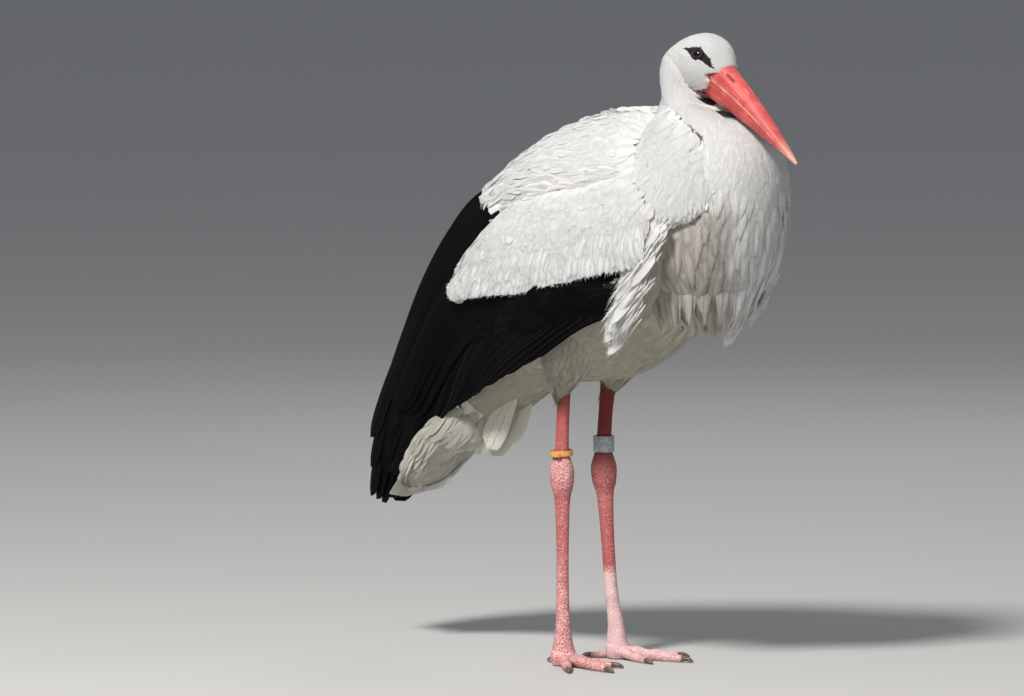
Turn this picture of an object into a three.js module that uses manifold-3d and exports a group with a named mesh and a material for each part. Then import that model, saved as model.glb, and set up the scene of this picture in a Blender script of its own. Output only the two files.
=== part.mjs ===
// A white stork at life size, standing at rest with its neck drawn in and its bill laid on its breast.
// Millimetres. +X is the way the bird faces, +Y its left, +Z up, and the floor is z = 0.
// Each piece is a closed solid. Where two meet, one is cut back from the other by a small gap.
import * as THREE from "three";
import { mergeVertices } from "three/addons/utils/BufferGeometryUtils.js";
import Module from "manifold-3d";

const wasm = await Module();
wasm.setup();

// ---------- driving dimensions ----------
const gap = 0.4; // clearance between pieces that meet
const slack = 0.16; // how far a facet may be merged away from where the surface was
const legSpread = 42; // from the middle of the body to the middle of each foot
const footForward = 1; // of the toe joint, from the origin
const toeOut = 13; // degrees that each foot is turned outwards
const ankleHeight = 200;
const headAt = [145, 0, 609];
const headPitch = 32; // degrees that the bill points below the horizon
const headYaw = -10; // degrees that the head is turned to the left
const billLength = 137; // from the feathers of the forehead to the tip
const eyeRadius = 9.5;

const colours = {
  white: 0xece9e2,
  black: 0x17161a,
  bill: 0xc8402f,
  leg: 0xb4524e,
  claw: 0x4a3a34,
  eye: 0x16100e,
  yellowRing: 0xd9a24a,
  metalRing: 0x8f939c,
};

// ---------- helpers ----------
const add = (p, q, k = 1) => p.map((v, i) => v + k * q[i]);
const mix = (p, q, t) => p.map((v, i) => v + t * (q[i] - v));
const length = (p) => Math.hypot(...p);
const scaled = (p, k) => p.map((v) => v * k);
const cross = (p, q) => [
  p[1] * q[2] - p[2] * q[1],
  p[2] * q[0] - p[0] * q[2],
  p[0] * q[1] - p[1] * q[0],
];
const degrees = THREE.MathUtils.degToRad;

// How much a section is shrunk near a rounded end; along is 0 at the end and 1 where the rounding stops.
const rounding = (along) =>
  along >= 1 ? 1 : Math.sqrt(Math.max(0, 1 - (1 - along) ** 2));

// A body swept through stations. Each station has a middle (at), two half axes (across and thick), and a bow
// that pushes the middle of a flat section out of its plane. Vectors between stations follow a Catmull-Rom curve.
// roundStart and roundEnd are the shares of the length over which the ends close to a point; 0 leaves a flat end.
function sweep(stations, { steps, sides, roundStart = 0, roundEnd = 0 }) {
  const curves = ["at", "across", "thick", "bow"].map(
    (key) =>
      new THREE.CatmullRomCurve3(
        stations.map((s) => new THREE.Vector3(...(s[key] ?? [0, 0, 0]))),
        false,
        "catmullrom",
        0.5,
      ),
  );
  const rings = [];
  for (let i = 0; i <= steps; i++) {
    const u = i / steps;
    // Steps crowd towards a rounded end, so that it looks round.
    const eased = easeEnds(u, roundStart > 0, roundEnd > 0);
    const shrink =
      (roundStart > 0 ? rounding(eased / roundStart) : 1) *
      (roundEnd > 0 ? rounding((1 - eased) / roundEnd) : 1);
    const [at, across, thick, bow] = curves.map((c) =>
      c.getPoint(eased).toArray(),
    );
    const ring = [];
    for (let j = 0; j < sides; j++) {
      const angle = (2 * Math.PI * j) / sides;
      const aside = shrink * Math.cos(angle);
      let p = add(at, across, aside);
      p = add(p, thick, shrink * Math.sin(angle));
      ring.push(add(p, bow, 1 - aside ** 2));
    }
    rings.push(shrink < 1e-6 ? [add(at, bow)] : ring);
  }
  return closeRings(rings);
}

function easeEnds(u, atStart, atEnd) {
  if (atStart && atEnd) return (1 - Math.cos(Math.PI * u)) / 2;
  if (atStart) return 1 - Math.cos((Math.PI * u) / 2);
  if (atEnd) return Math.sin((Math.PI * u) / 2);
  return u;
}

// Joins rings of points into one closed surface; a ring of one point is a pole, and an open end gets a flat cap.
// The far half of each ring is split along the other diagonal, so that a symmetrical body has symmetrical facets.
function closeRings(rings) {
  const points = [];
  const first = rings.map((ring) => {
    const start = points.length;
    points.push(...ring);
    return start;
  });
  const faces = [];
  for (let i = 0; i + 1 < rings.length; i++) {
    const [p, q] = [rings[i], rings[i + 1]];
    const sides = Math.max(p.length, q.length);
    for (let j = 0; j < sides; j++) {
      const k = (j + 1) % sides;
      const [a, b] = p.length > 1 ? [first[i] + j, first[i] + k] : [first[i], first[i]];
      const [c, d] = q.length > 1 ? [first[i + 1] + j, first[i + 1] + k] : [first[i + 1], first[i + 1]];
      const near = Math.cos((2 * Math.PI * (j + 0.5)) / sides) > 0;
      if (a !== b) faces.push(near || c === d ? [a, b, d] : [a, b, c]);
      if (c !== d) faces.push(near || a === b ? [a, d, c] : [b, d, c]);
    }
  }
  for (const [ring, start, atEnd] of [
    [rings[0], first[0], false],
    [rings.at(-1), first.at(-1), true],
  ]) {
    for (let j = 1; j + 1 < ring.length; j++)
      faces.push(
        atEnd ? [start, start + j, start + j + 1] : [start, start + j + 1, start + j],
      );
  }
  const geometry = new THREE.BufferGeometry();
  geometry.setAttribute("position", new THREE.Float32BufferAttribute(points.flat(), 3));
  geometry.setIndex(faces.flat());
  return facingOut(geometry);
}

// Turns the faces round if they point inwards.
function facingOut(geometry) {
  const p = geometry.getAttribute("position");
  const index = geometry.getIndex().array;
  const corner = [0, 1, 2].map(() => new THREE.Vector3());
  let volume = 0;
  for (let i = 0; i < index.length; i += 3) {
    corner.forEach((c, n) => c.fromBufferAttribute(p, index[i + n]));
    volume += corner[0].dot(corner[1].clone().cross(corner[2]));
  }
  if (volume < 0)
    for (let i = 0; i < index.length; i += 3)
      [index[i + 1], index[i + 2]] = [index[i + 2], index[i + 1]];
  return geometry;
}

// The same surface with every face moved outwards. A corner moves further where its faces are less in line.
function swollen(geometry, distance) {
  const grown = positionsOnly(geometry);
  grown.computeVertexNormals();
  const p = grown.getAttribute("position");
  const n = grown.getAttribute("normal");
  const index = grown.getIndex().array;
  const least = new Float64Array(p.count).fill(1);
  const corner = [0, 1, 2].map(() => new THREE.Vector3());
  const normal = new THREE.Vector3();
  for (let i = 0; i < index.length; i += 3) {
    corner.forEach((c, k) => c.fromBufferAttribute(p, index[i + k]));
    normal.crossVectors(corner[1].sub(corner[0]), corner[2].sub(corner[0])).normalize();
    for (const v of index.subarray(i, i + 3))
      least[v] = Math.min(least[v], normal.x * n.getX(v) + normal.y * n.getY(v) + normal.z * n.getZ(v));
  }
  for (let i = 0; i < p.count; i++) {
    const step = distance / Math.max(0.3, least[i]);
    p.setXYZ(i, p.getX(i) + step * n.getX(i), p.getY(i) + step * n.getY(i), p.getZ(i) + step * n.getZ(i));
  }
  return grown;
}

function positionsOnly(geometry) {
  const bare = geometry.clone();
  for (const name of ["normal", "uv"]) bare.deleteAttribute(name);
  return mergeVertices(bare, 1e-4);
}

function moved(geometry, matrix) {
  return geometry.clone().applyMatrix4(matrix);
}

const solid = (geometry) => {
  const bare = positionsOnly(geometry);
  return new wasm.Manifold(
    new wasm.Mesh({
      numProp: 3,
      vertProperties: new Float32Array(bare.getAttribute("position").array),
      triVerts: new Uint32Array(bare.getIndex().array),
    }),
  );
};

function geometryOf(manifold) {
  const mesh = manifold.getMesh();
  const points = [];
  for (let i = 0; i < mesh.vertProperties.length; i += mesh.numProp)
    points.push(...mesh.vertProperties.subarray(i, i + 3));
  const geometry = new THREE.BufferGeometry();
  geometry.setAttribute("position", new THREE.Float32BufferAttribute(points, 3));
  geometry.setIndex([...mesh.triVerts]);
  geometry.computeVertexNormals();
  return geometry;
}

// geometry with the pieces in joins added, and the pieces in cuts taken away with a gap round each.
// Slivers that a cut leaves behind are dropped: only the largest body stays.
function shaped(geometry, { joins = [], cuts = [], clearance = gap } = {}) {
  let made = solid(geometry);
  for (const piece of joins) made = made.add(solid(piece));
  for (const piece of cuts) made = made.subtract(solid(swollen(piece, clearance)));
  made = made.simplify(slack);
  const bodies = made.decompose().sort((a, b) => b.volume() - a.volume());
  return geometryOf(bodies[0]);
}

// A section across the middle plane of the body, from a point on the upper outline to one on the lower.
const across = (upper, lower, half) => ({
  at: [(upper[0] + lower[0]) / 2, 0, (upper[1] + lower[1]) / 2],
  across: [0, half, 0],
  thick: [(upper[0] - lower[0]) / 2, 0, (upper[1] - lower[1]) / 2],
});

// Sections of a folded wing: each runs from an upper edge point to a lower one, is so thick, and bulges
// outwards, away from the body, so that the panel wraps round the trunk.
function panel(rows) {
  const middles = rows.map(([upper, lower]) => mix(upper, lower, 0.5));
  return rows.map(([upper, lower, thickness, bulge], i) => {
    const run = add(middles[Math.min(i + 1, rows.length - 1)], middles[Math.max(i - 1, 0)], -1);
    let out = cross(add(upper, lower, -1), run);
    out = scaled(out, (out[1] > 0 ? -1 : 1) / length(out));
    return {
      at: middles[i],
      across: scaled(add(upper, lower, -1), 0.5),
      thick: scaled(out, thickness / 2),
      bow: scaled(out, bulge),
    };
  });
}

// A long feather from root to tip: flat, rounded at the tip, with its flat face turned to `facing`.
function feather(root, tip, halfWidth, thickness, facing) {
  const run = add(tip, root, -1);
  let side = cross(run, facing);
  side = scaled(side, halfWidth / length(side));
  let out = cross(side, run);
  out = scaled(out, thickness / 2 / length(out));
  const widths = [0.55, 0.9, 1, 1, 0.92];
  const stations = widths.map((w, i) => ({
    at: mix(root, tip, i / (widths.length - 1)),
    across: scaled(side, w),
    thick: out,
  }));
  return sweep(stations, { steps: 4, sides: 6, roundStart: 0.12, roundEnd: 0.22 });
}

// A lock of loose feathers: thickest near its root and drawn out to a point.
function lock(root, tip, halfWidth, halfThick, facing) {
  const run = add(tip, root, -1);
  let side = cross(run, facing);
  side = scaled(side, 1 / length(side));
  let out = cross(side, run);
  out = scaled(out, 1 / length(out));
  const widths = [0.7, 1, 0.8, 0.4, 0.08];
  const stations = widths.map((w, i) => ({
    at: mix(root, tip, i / (widths.length - 1)),
    across: scaled(side, halfWidth * w),
    thick: scaled(out, halfThick * w),
  }));
  return sweep(stations, { steps: 3, sides: 5 });
}

const parts = new THREE.Group();

function place(name, geometry, colour, group = parts, { roughness = 0.75, metalness = 0 } = {}) {
  const material = new THREE.MeshStandardMaterial({ color: colour, roughness, metalness });
  const mesh = new THREE.Mesh(geometry, material);
  mesh.name = name;
  group.add(mesh);
  return mesh;
}

// ---------- trunk and neck ----------
const trunkShape = sweep(
  [
    across([-205, 290], [-158, 226], 20),
    across([-186, 345], [-140, 236], 34),
    across([-155, 405], [-95, 252], 52),
    across([-112, 456], [-42, 283], 74),
    across([-58, 500], [10, 288], 92),
    across([0, 532], [62, 298], 99),
    across([58, 550], [112, 330], 101),
    across([112, 558], [164, 374], 96),
    across([160, 548], [204, 432], 86),
    across([196, 512], [224, 478], 68),
  ],
  { steps: 15, sides: 18, roundStart: 0.06, roundEnd: 0.22 },
);

const neckShape = sweep(
  [
    across([202, 352], [150, 350], 30),
    across([218, 388], [108, 366], 56),
    across([233, 436], [90, 404], 75),
    across([239, 484], [82, 450], 79),
    across([235, 524], [84, 498], 70),
    across([218, 553], [94, 544], 53),
    across([197, 573], [104, 573], 40),
    across([179, 588], [108, 593], 33),
    across([168, 600], [109, 614], 29),
  ],
  { steps: 11, sides: 16, roundStart: 0.2, roundEnd: 0.12 },
);

// Long feathers of the lower neck hang past the breast as a ragged fringe.
function fringe() {
  const locks = [];
  const count = 11;
  for (let i = 0; i < count; i++) {
    const turn = -1.6 + (3.2 * i) / (count - 1);
    const [c, s] = [Math.cos(turn), Math.sin(turn)];
    const uneven = Math.sin(i * 2.4);
    const root = [150 + 66 * c, 60 * s, 402 + 6 * uneven];
    const tip = [148 + 56 * c, 52 * s, 343 + 17 * c + 6 * uneven];
    locks.push(lock(root, tip, 17, 8, [c, s, 0.2]));
  }
  return locks;
}

// ---------- head, in its own frame: +X towards the bill, +Z over the crown ----------
const head = new THREE.Group();
head.position.set(...headAt);
head.rotation.set(0, degrees(headPitch), degrees(headYaw), "ZYX");
head.updateMatrixWorld(true);
const headMatrix = head.matrixWorld.clone();

const headShape = sweep(
  [
    across([-37, -2], [-39, -16], 10),
    across([-30, 10], [-34, -26], 20),
    across([-20, 25], [-24, -30], 26),
    across([-8, 35], [-8, -28], 27.5),
    across([6, 40], [8, -24], 27.5),
    across([20, 39], [22, -19], 25),
    across([32, 34], [33, -15], 20),
    across([43, 27], [41, -12], 14),
    across([49, 20], [46, -6], 9),
  ],
  { steps: 11, sides: 16, roundStart: 0.14, roundEnd: 0.16 },
);

const billHalf = 12; // half width of the bill where it leaves the face
const gape = { rear: [20, 9], tip: [40 + billLength, 2], arch: 4.8 }; // the line between the two halves of the bill

// Half of the bill: from the gape line up to the ridge, or down to the keel.
function billHalfShape(outer, fullness) {
  const count = 7;
  const stations = [];
  for (let i = 0; i < count; i++) {
    const t = i / (count - 1);
    const line = mix(gape.rear, gape.tip, t);
    line[1] += gape.arch * Math.sin(Math.PI * t);
    const edge = [line[0], outer(t)];
    const half = (billHalf * (1 - t) ** 0.8 * (1 + 0.5 * t) + 1.2) * fullness;
    stations.push({
      at: [line[0], 0, line[1]],
      across: [0, half, 0],
      thick: [0, 0, edge[1] - line[1]],
    });
  }
  return stations;
}

// Rings of a half section: flat along the gape line, arched towards the ridge or keel.
function archedSweep(stations, steps, sides) {
  const curves = ["at", "across", "thick"].map(
    (key) =>
      new THREE.CatmullRomCurve3(stations.map((s) => new THREE.Vector3(...s[key])), false, "catmullrom", 0.5),
  );
  const rings = [];
  for (let i = 0; i <= steps; i++) {
    const [at, side, rise] = curves.map((c) => c.getPoint(i / steps).toArray());
    const ring = [];
    for (let j = 0; j <= sides; j++) {
      const angle = (Math.PI * j) / sides;
      ring.push(add(add(at, side, Math.cos(angle)), rise, Math.sin(angle) ** 0.85));
    }
    rings.push(ring);
  }
  return closeRings(rings);
}

const ridge = (t) => 30 - 27.2 * t + 3.2 * Math.sin(Math.PI * t);
const keel = (t) => -17 + 17.6 * t + 2.2 * Math.sin(Math.PI * t);
const nostril = { at: [53.5, 8.6, 21], size: [14, 5, 1.8], slope: 3 };
const billUpperShape = archedSweep(billHalfShape(ridge, 1), 10, 8);
const billLowerShape = archedSweep(billHalfShape(keel, 0.94), 10, 6);

const eyeAt = [11, -17, 20.5];
const mirrored = ([x, y, z]) => [x, -y, z];
function eyeShape(at) {
  return new THREE.SphereGeometry(eyeRadius, 12, 7).translate(...at);
}

// ---------- wings, tail and thighs: the right side is made, and the left is its mirror image ----------
const covertShape = sweep(
  panel([
    [[158, -75, 500], [176, -84, 438], 18, 8],
    [[124, -86, 503], [136, -94, 404], 20, 11],
    [[76, -88, 493], [62, -96, 383], 20, 13],
    [[20, -84, 476], [-10, -93, 367], 20, 13],
    [[-36, -76, 454], [-66, -86, 361], 18, 12],
    [[-80, -66, 434], [-107, -76, 362], 14, 10],
    [[-106, -58, 412], [-129, -70, 370], 8, 6],
  ]),
  { steps: 11, sides: 12, roundStart: 0.14, roundEnd: 0.12 },
);

const scapularShape = sweep(
  panel([
    [[122, -20, 563], [140, -80, 512], 16, 5],
    [[78, -10, 568], [100, -88, 491], 22, 10],
    [[28, -8, 557], [48, -88, 474], 24, 13],
    [[-26, -8, 537], [-6, -83, 459], 24, 13],
    [[-78, -12, 506], [-58, -71, 450], 18, 9],
    [[-119, -28, 470], [-106, -50, 454], 9, 3],
  ]),
  { steps: 9, sides: 12, roundStart: 0.16, roundEnd: 0.1 },
);

const flightShape = sweep(
  panel([
    [[140, -94, 412], [118, -92, 366], 8, 4],
    [[84, -96, 424], [66, -92, 350], 14, 8],
    [[20, -90, 436], [4, -86, 318], 18, 12],
    [[-72, -52, 474], [-63, -66, 286], 20, 18],
    [[-148, -15, 458], [-122, -45, 260], 20, 22],
    [[-200, -11, 398], [-168, -33, 242], 18, 18],
    [[-239, -9, 326], [-206, -28, 219], 14, 12],
    [[-268, -8, 262], [-235, -24, 195], 10, 7],
    [[-286, -8, 200], [-262, -18, 168], 6, 3],
  ]),
  { steps: 13, sides: 10, roundStart: 0.06, roundEnd: 0.1 },
);

// The longest feathers of the folded wing, each ending in a tip of its own: [root, tip, half width].
const flightFeathers = [
  [[-126, -44, 448], [-222, -24, 338], 14],
  [[-168, -30, 416], [-256, -22, 276], 14],
  [[-206, -30, 350], [-292, -18, 215], 13],
  [[-240, -24, 300], [-297, -11, 150], 15],
  [[-214, -30, 262], [-282, -9, 140], 13],
  [[-190, -32, 244], [-266, -16, 158], 13],
];

const tailFeathers = [];
const tailCount = 5;
for (let i = 0; i < tailCount; i++) {
  const spread = (2 * i) / (tailCount - 1) - 1;
  const along = Math.abs(spread);
  tailFeathers.push(
    feather(
      [-158, 12 * spread, 262 - 3 * along],
      [-256 + 4 * along, 28 * spread, 152 + 5 * along],
      16,
      5,
      [-0.75, 0.35 * spread, 0.66],
    ),
  );
}
const tailBase = sweep(
  [
    across([-150, 334], [-108, 244], 32),
    across([-182, 284], [-142, 212], 40),
    across([-210, 238], [-176, 201], 40),
    across([-234, 200], [-210, 177], 35),
    across([-250, 174], [-238, 160], 28),
  ],
  { steps: 7, sides: 12, roundStart: 0.2, roundEnd: 0.2 },
);

// Soft feathers under the tail, which end in rounded tips.
const undertail = [
  feather([-76, -20, 284], [-126, -16, 210], 18, 12, [0.8, 0, -0.6]),
  feather([-84, 14, 280], [-142, 8, 201], 20, 12, [0.8, 0, -0.6]),
];

const thighShape = sweep(
  [
    { at: [40, -46, 372], across: [46, 0, 0], thick: [0, 34, 0] },
    { at: [28, -46, 340], across: [44, 0, 0], thick: [0, 32, 0] },
    { at: [14, -44, 314], across: [34, 0, 0], thick: [0, 25, 0] },
    { at: [2, -41, 294], across: [21, 0, 0], thick: [0, 16, 0] },
    { at: [-4, -39, 282], across: [12, 0, 0], thick: [0, 10.5, 0] },
  ],
  { steps: 5, sides: 10, roundStart: 0.15 },
);

function thighLocks() {
  const locks = [];
  const count = 6;
  for (let i = 0; i < count; i++) {
    const turn = (2 * Math.PI * (i + 0.3)) / count;
    const [c, s] = [Math.cos(turn), Math.sin(turn)];
    locks.push(
      lock(
        [8 + 22 * c, -42 + 16 * s, 306],
        [-1 + 17 * c, -40 + 13 * s, 276 + 7 * Math.sin(3 * i)],
        8,
        4,
        [c, s, 0.1],
      ),
    );
  }
  return locks;
}

// ---------- legs, each in its own frame: origin on the floor under the toe joint, +X towards the middle toe ----------
const section = (x, y, z, depth, width) => ({ at: [x, y, z], across: [depth, 0, 0], thick: [0, width, 0] });

const tibiaShape = sweep(
  [
    section(-13, 7, ankleHeight + 9, 10.4, 8.8),
    section(-13, 7, ankleHeight + 18, 8.3, 6.6),
    section(-11, 7, ankleHeight + 50, 7.6, 5.8),
    section(-8, 6, ankleHeight + 85, 8.4, 6.6),
    section(-5, 5, ankleHeight + 112, 9.4, 7.6),
  ],
  { steps: 6, sides: 10 },
);

const tarsusShape = sweep(
  [
    section(-13, 7, ankleHeight + 9 - gap, 10.4, 8.8),
    section(-12.8, 7, ankleHeight - 3, 13.6, 11.8),
    section(-12.4, 7, ankleHeight - 18, 12.6, 10.8),
    section(-11.4, 6.6, ankleHeight - 34, 8.8, 7.4),
    section(-9, 5.2, ankleHeight - 80, 6.9, 6.0),
    section(-6, 3.2, ankleHeight - 130, 7.0, 6.2),
    section(-2, 1.2, 38, 8.2, 7.8),
    section(-1, 0.4, 20, 10.5, 10.6),
  ],
  { steps: 12, sides: 10 },
);

const footHub = sweep(
  [
    section(-1, 0.4, 20 - gap, 10.5, 10.6),
    section(0, 0, 13, 12.5, 13.2),
    section(1, 0, 6, 14, 14),
    section(1, 0, -1, 12, 12),
  ],
  { steps: 3, sides: 10 },
);

// [name, bearing in degrees, length without the claw, thickness at the root, height of the root]
const toes = [
  ["inner", 30, 56, 6.6, 9],
  ["middle", 0, 76, 7.2, 9],
  ["outer", -31, 63, 6.8, 9],
  ["hind", 168, 29, 5.6, 9],
];
const clawLength = 11;

function toeShape(reach, thickness, rootHeight) {
  const pads = reach > 40 ? 3 : 2;
  const stations = [];
  const count = 8;
  for (let i = 0; i < count; i++) {
    const t = i / (count - 1);
    const pad = 1 + 0.1 * Math.cos(2 * Math.PI * pads * t);
    const half = thickness * (1 - 0.38 * t) * pad;
    const height = (rootHeight - 4.2) * (1 - t) ** 2 + half * 0.72;
    stations.push({ at: [reach * t, 0, height], across: [0, half, 0], thick: [0, 0, half * 0.9] });
  }
  return sweep(stations, { steps: 6, sides: 6, roundEnd: 0.08 });
}

function clawShape(reach, thickness) {
  const base = thickness * 0.62 * 0.72;
  return sweep(
    [
      { at: [reach - 3, 0, base + 0.4], across: [0, 3.1, 0], thick: [0, 0, 2.6] },
      { at: [reach + clawLength * 0.35, 0, base + 0.4], across: [0, 2.9, 0], thick: [0, 0, 2.3] },
      { at: [reach + clawLength * 0.75, 0, base - 0.6], across: [0, 2.1, 0], thick: [0, 0, 1.6] },
      { at: [reach + clawLength, 0, 1.6], across: [0, 0.9, 0], thick: [0, 0, 0.8] },
    ],
    { steps: 3, sides: 6 },
  );
}

// Small web between two front toes, near the hub.
function web(bearing1, bearing2, reach) {
  const at = (bearing, r) => [r * Math.cos(degrees(bearing)), r * Math.sin(degrees(bearing))];
  const outline = [[0, 0], at(bearing1, reach), at((bearing1 + bearing2) / 2, reach * 0.72), at(bearing2, reach)];
  const shape = new THREE.Shape(outline.map((p) => new THREE.Vector2(...p)));
  return new THREE.ExtrudeGeometry(shape, { depth: 3, bevelEnabled: false }).translate(0, 0, 2.4);
}

// A closed metal band.
function ringShape({ radius, wall, height }) {
  const profile = [
    [radius, 0],
    [radius + wall, 0],
    [radius + wall, height],
    [radius, height],
    [radius, 0],
  ].map((p) => new THREE.Vector2(...p));
  return new THREE.LatheGeometry(profile, 28).rotateX(Math.PI / 2);
}

// A springy strip rolled round the leg, with one end lying over the other and standing off a little.
function wrapShape({ radius, wall, height, overlap }) {
  const rings = [];
  const steps = 22;
  for (let i = 0; i <= steps; i++) {
    const t = i / steps;
    const turn = degrees(-100 + (360 + overlap) * t);
    const lifted = radius + (wall + 0.5) * t + 2.2 * Math.max(0, t - 0.92) * 12.5 * t;
    const [c, s] = [Math.cos(turn), Math.sin(turn)];
    rings.push([
      [lifted * c, lifted * s, 0],
      [(lifted + wall) * c, (lifted + wall) * s, 0],
      [(lifted + wall) * c, (lifted + wall) * s, height],
      [lifted * c, lifted * s, height],
    ]);
  }
  return closeRings(rings);
}

const metalRing = { radius: 9.9, wall: 0.9, height: 16.5 };
const yellowRing = { radius: 10.2, wall: 0.8, height: 5.6, overlap: 55 };
const ringAt = [-12.8, 7, ankleHeight + 12.5];
const yellowTilt = 4;

const floorBlock = new THREE.BoxGeometry(300, 300, 60).translate(0, 0, -30);

function addLeg(side, group) {
  const toeTurn = (bearing) => new THREE.Matrix4().makeRotationZ(degrees(bearing));
  const toePieces = toes.map(([, bearing, reach, thickness, root]) =>
    moved(toeShape(reach, thickness, root), toeTurn(bearing)),
  );
  const foot = shaped(footHub, {
    joins: [...toePieces, web(0, 30, 26), web(-31, 0, 30)],
    cuts: [floorBlock],
    clearance: 0,
  });
  place(`tibia_${side}`, tibiaBare, colours.leg, group);
  place(`tarsus_${side}`, tarsusShape, colours.leg, group);
  place(`foot_${side}`, foot, colours.leg, group);
  for (const [name, bearing, reach, thickness] of toes) {
    const claw = moved(clawShape(reach, thickness), toeTurn(bearing));
    place(`claw_${name}_${side}`, shaped(claw, { cuts: [foot] }), colours.claw, group, { roughness: 0.4 });
  }
}

// ---------- fitting the pieces to each other ----------
const headInBody = moved(headShape, headMatrix);
const billCut = [billUpperShape, billLowerShape];
const eyes = [eyeShape(eyeAt), eyeShape(mirrored(eyeAt))];

const headGeometry = shaped(headShape, { cuts: [...billCut, ...eyes], clearance: 1.5 * gap });
const nostrils = [-1, 1].map((side) => {
  const slit = new THREE.BoxGeometry(...nostril.size).rotateY(degrees(nostril.slope));
  return slit.translate(nostril.at[0], side * nostril.at[1], nostril.at[2]);
});
const billUpper = shaped(billUpperShape, { cuts: nostrils, clearance: 0 });
const billLower = shaped(billLowerShape, { cuts: [billUpperShape] });

const trunk = shaped(trunkShape, { joins: undertail });
const trunkPieces = [trunkShape, ...undertail];
const neckCuts = [trunkShape, headInBody, ...billCut.map((b) => moved(b, headMatrix))];
const neck = shaped(neckShape, { joins: fringe(), cuts: neckCuts, clearance: 1.5 * gap });

const scapular = shaped(scapularShape, { cuts: [trunkShape, neckShape] });
const coverts = shaped(covertShape, { cuts: [trunkShape, neckShape, scapularShape] });
const flightTips = flightFeathers.map(([root, tip, half]) => feather(root, tip, half, 4, [-0.35, -0.9, 0.25]));
const tail = shaped(tailBase, { joins: tailFeathers, cuts: trunkPieces });
const flight = shaped(flightShape, {
  joins: flightTips,
  cuts: [...trunkPieces, covertShape, scapularShape, tailBase, ...tailFeathers],
});
const thigh = shaped(thighShape, {
  joins: thighLocks(),
  cuts: [...trunkPieces, flightShape, ...flightTips],
});

place("trunk", trunk, colours.white);
place("neck", neck, colours.white);
place("tail", tail, colours.white);

parts.add(head);
place("head", headGeometry, colours.white, head);
place("bill_upper", billUpper, colours.bill, head, { roughness: 0.4 });
place("bill_lower", billLower, colours.bill, head, { roughness: 0.4 });
place("eye_right", eyes[0], colours.eye, head, { roughness: 0.08 });
place("eye_left", eyes[1], colours.eye, head, { roughness: 0.08 });

const legPlace = (group) => {
  group.position.set(footForward, -legSpread, 0);
  group.rotation.z = degrees(-toeOut);
  group.updateMatrix();
  return group.matrix.clone();
};
const legMatrix = legPlace(new THREE.Group());
const thighInLeg = moved(thigh, legMatrix.clone().invert());
const trunkInLeg = moved(trunkShape, legMatrix.clone().invert());
const tibiaBare = shaped(tibiaShape, { cuts: [thighInLeg, trunkInLeg] });

for (const side of ["right", "left"]) {
  const half = new THREE.Group();
  half.scale.set(1, side === "right" ? 1 : -1, 1);
  parts.add(half);
  place(`scapulars_${side}`, scapular, colours.white, half);
  place(`wing_coverts_${side}`, coverts, colours.white, half);
  place(`wing_flight_${side}`, flight, colours.black, half, { roughness: 0.5 });
  place(`thigh_${side}`, thigh, colours.white, half);
  const leg = new THREE.Group();
  legPlace(leg);
  half.add(leg);
  addLeg(side, leg);
  const band = side === "right" ? wrapShape(yellowRing) : ringShape(metalRing);
  const ring = place(
    `ring_${side}`,
    band,
    side === "right" ? colours.yellowRing : colours.metalRing,
    leg,
    side === "right" ? { roughness: 0.45 } : { roughness: 0.5, metalness: 0.9 },
  );
  ring.position.set(...ringAt);
  if (side === "right") ring.rotation.x = degrees(yellowTilt);
}

export default parts;
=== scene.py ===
from math import cos, pi, radians, sin

import bpy
import numpy as np
from mathutils import Matrix, Vector


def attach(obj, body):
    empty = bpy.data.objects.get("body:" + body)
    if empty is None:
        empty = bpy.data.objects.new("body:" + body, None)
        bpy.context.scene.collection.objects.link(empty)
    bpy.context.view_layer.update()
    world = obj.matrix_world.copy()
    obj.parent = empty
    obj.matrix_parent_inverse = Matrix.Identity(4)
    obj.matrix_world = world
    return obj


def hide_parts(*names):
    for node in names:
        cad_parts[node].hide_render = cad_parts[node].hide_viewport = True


# A white stork at rest. Lengths in the dictionaries are millimetres unless they are marked as metres, and
# finished meshes are in metres. +X is the way the bird faces, +Y its left and +Z up. The right side is made,
# and the left mirrors it.

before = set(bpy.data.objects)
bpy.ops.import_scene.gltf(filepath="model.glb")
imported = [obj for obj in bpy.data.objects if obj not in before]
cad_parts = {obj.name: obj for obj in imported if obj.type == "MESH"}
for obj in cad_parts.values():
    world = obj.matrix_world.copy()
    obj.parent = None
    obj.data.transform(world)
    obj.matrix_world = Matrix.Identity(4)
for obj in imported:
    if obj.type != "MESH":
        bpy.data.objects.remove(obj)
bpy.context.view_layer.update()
mm = 0.001
rightLeft = (("right", False), ("left", True))


view = {
    "turn": 42,  # degrees round the bird, from its right side towards its front
    "rise": 4,  # degrees above the horizon
    "distance": 7.0,  # metres, and so is the aim
    "aim": (-0.0796, 0.320),  # to the right of the origin and above it, across the camera's line of sight
    "lens": 241.3,
    "sensor": 36,
    "farthest": 100,  # metres
}


def addObject(name, data):
    made = bpy.data.objects.new(name, data)
    bpy.context.scene.collection.objects.link(made)
    return made


def setCamera():
    turn, rise = radians(view["turn"]), radians(view["rise"])
    right = Vector((cos(turn), sin(turn), 0))
    towards = Vector((sin(turn) * cos(rise), -cos(turn) * cos(rise), sin(rise)))
    upwards = towards.cross(right)
    data = bpy.data.cameras.new("camera")
    data.lens = view["lens"]
    data.sensor_width = view["sensor"]
    data.sensor_fit = "HORIZONTAL"
    data.clip_end = view["farthest"]
    aim = right * view["aim"][0] + upwards * view["aim"][1]
    turned = Matrix((right, upwards, towards)).transposed().to_4x4()
    camera = addObject("camera", data)
    camera.matrix_world = Matrix.Translation(aim + towards * view["distance"]) @ turned
    bpy.context.scene.camera = camera


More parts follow.
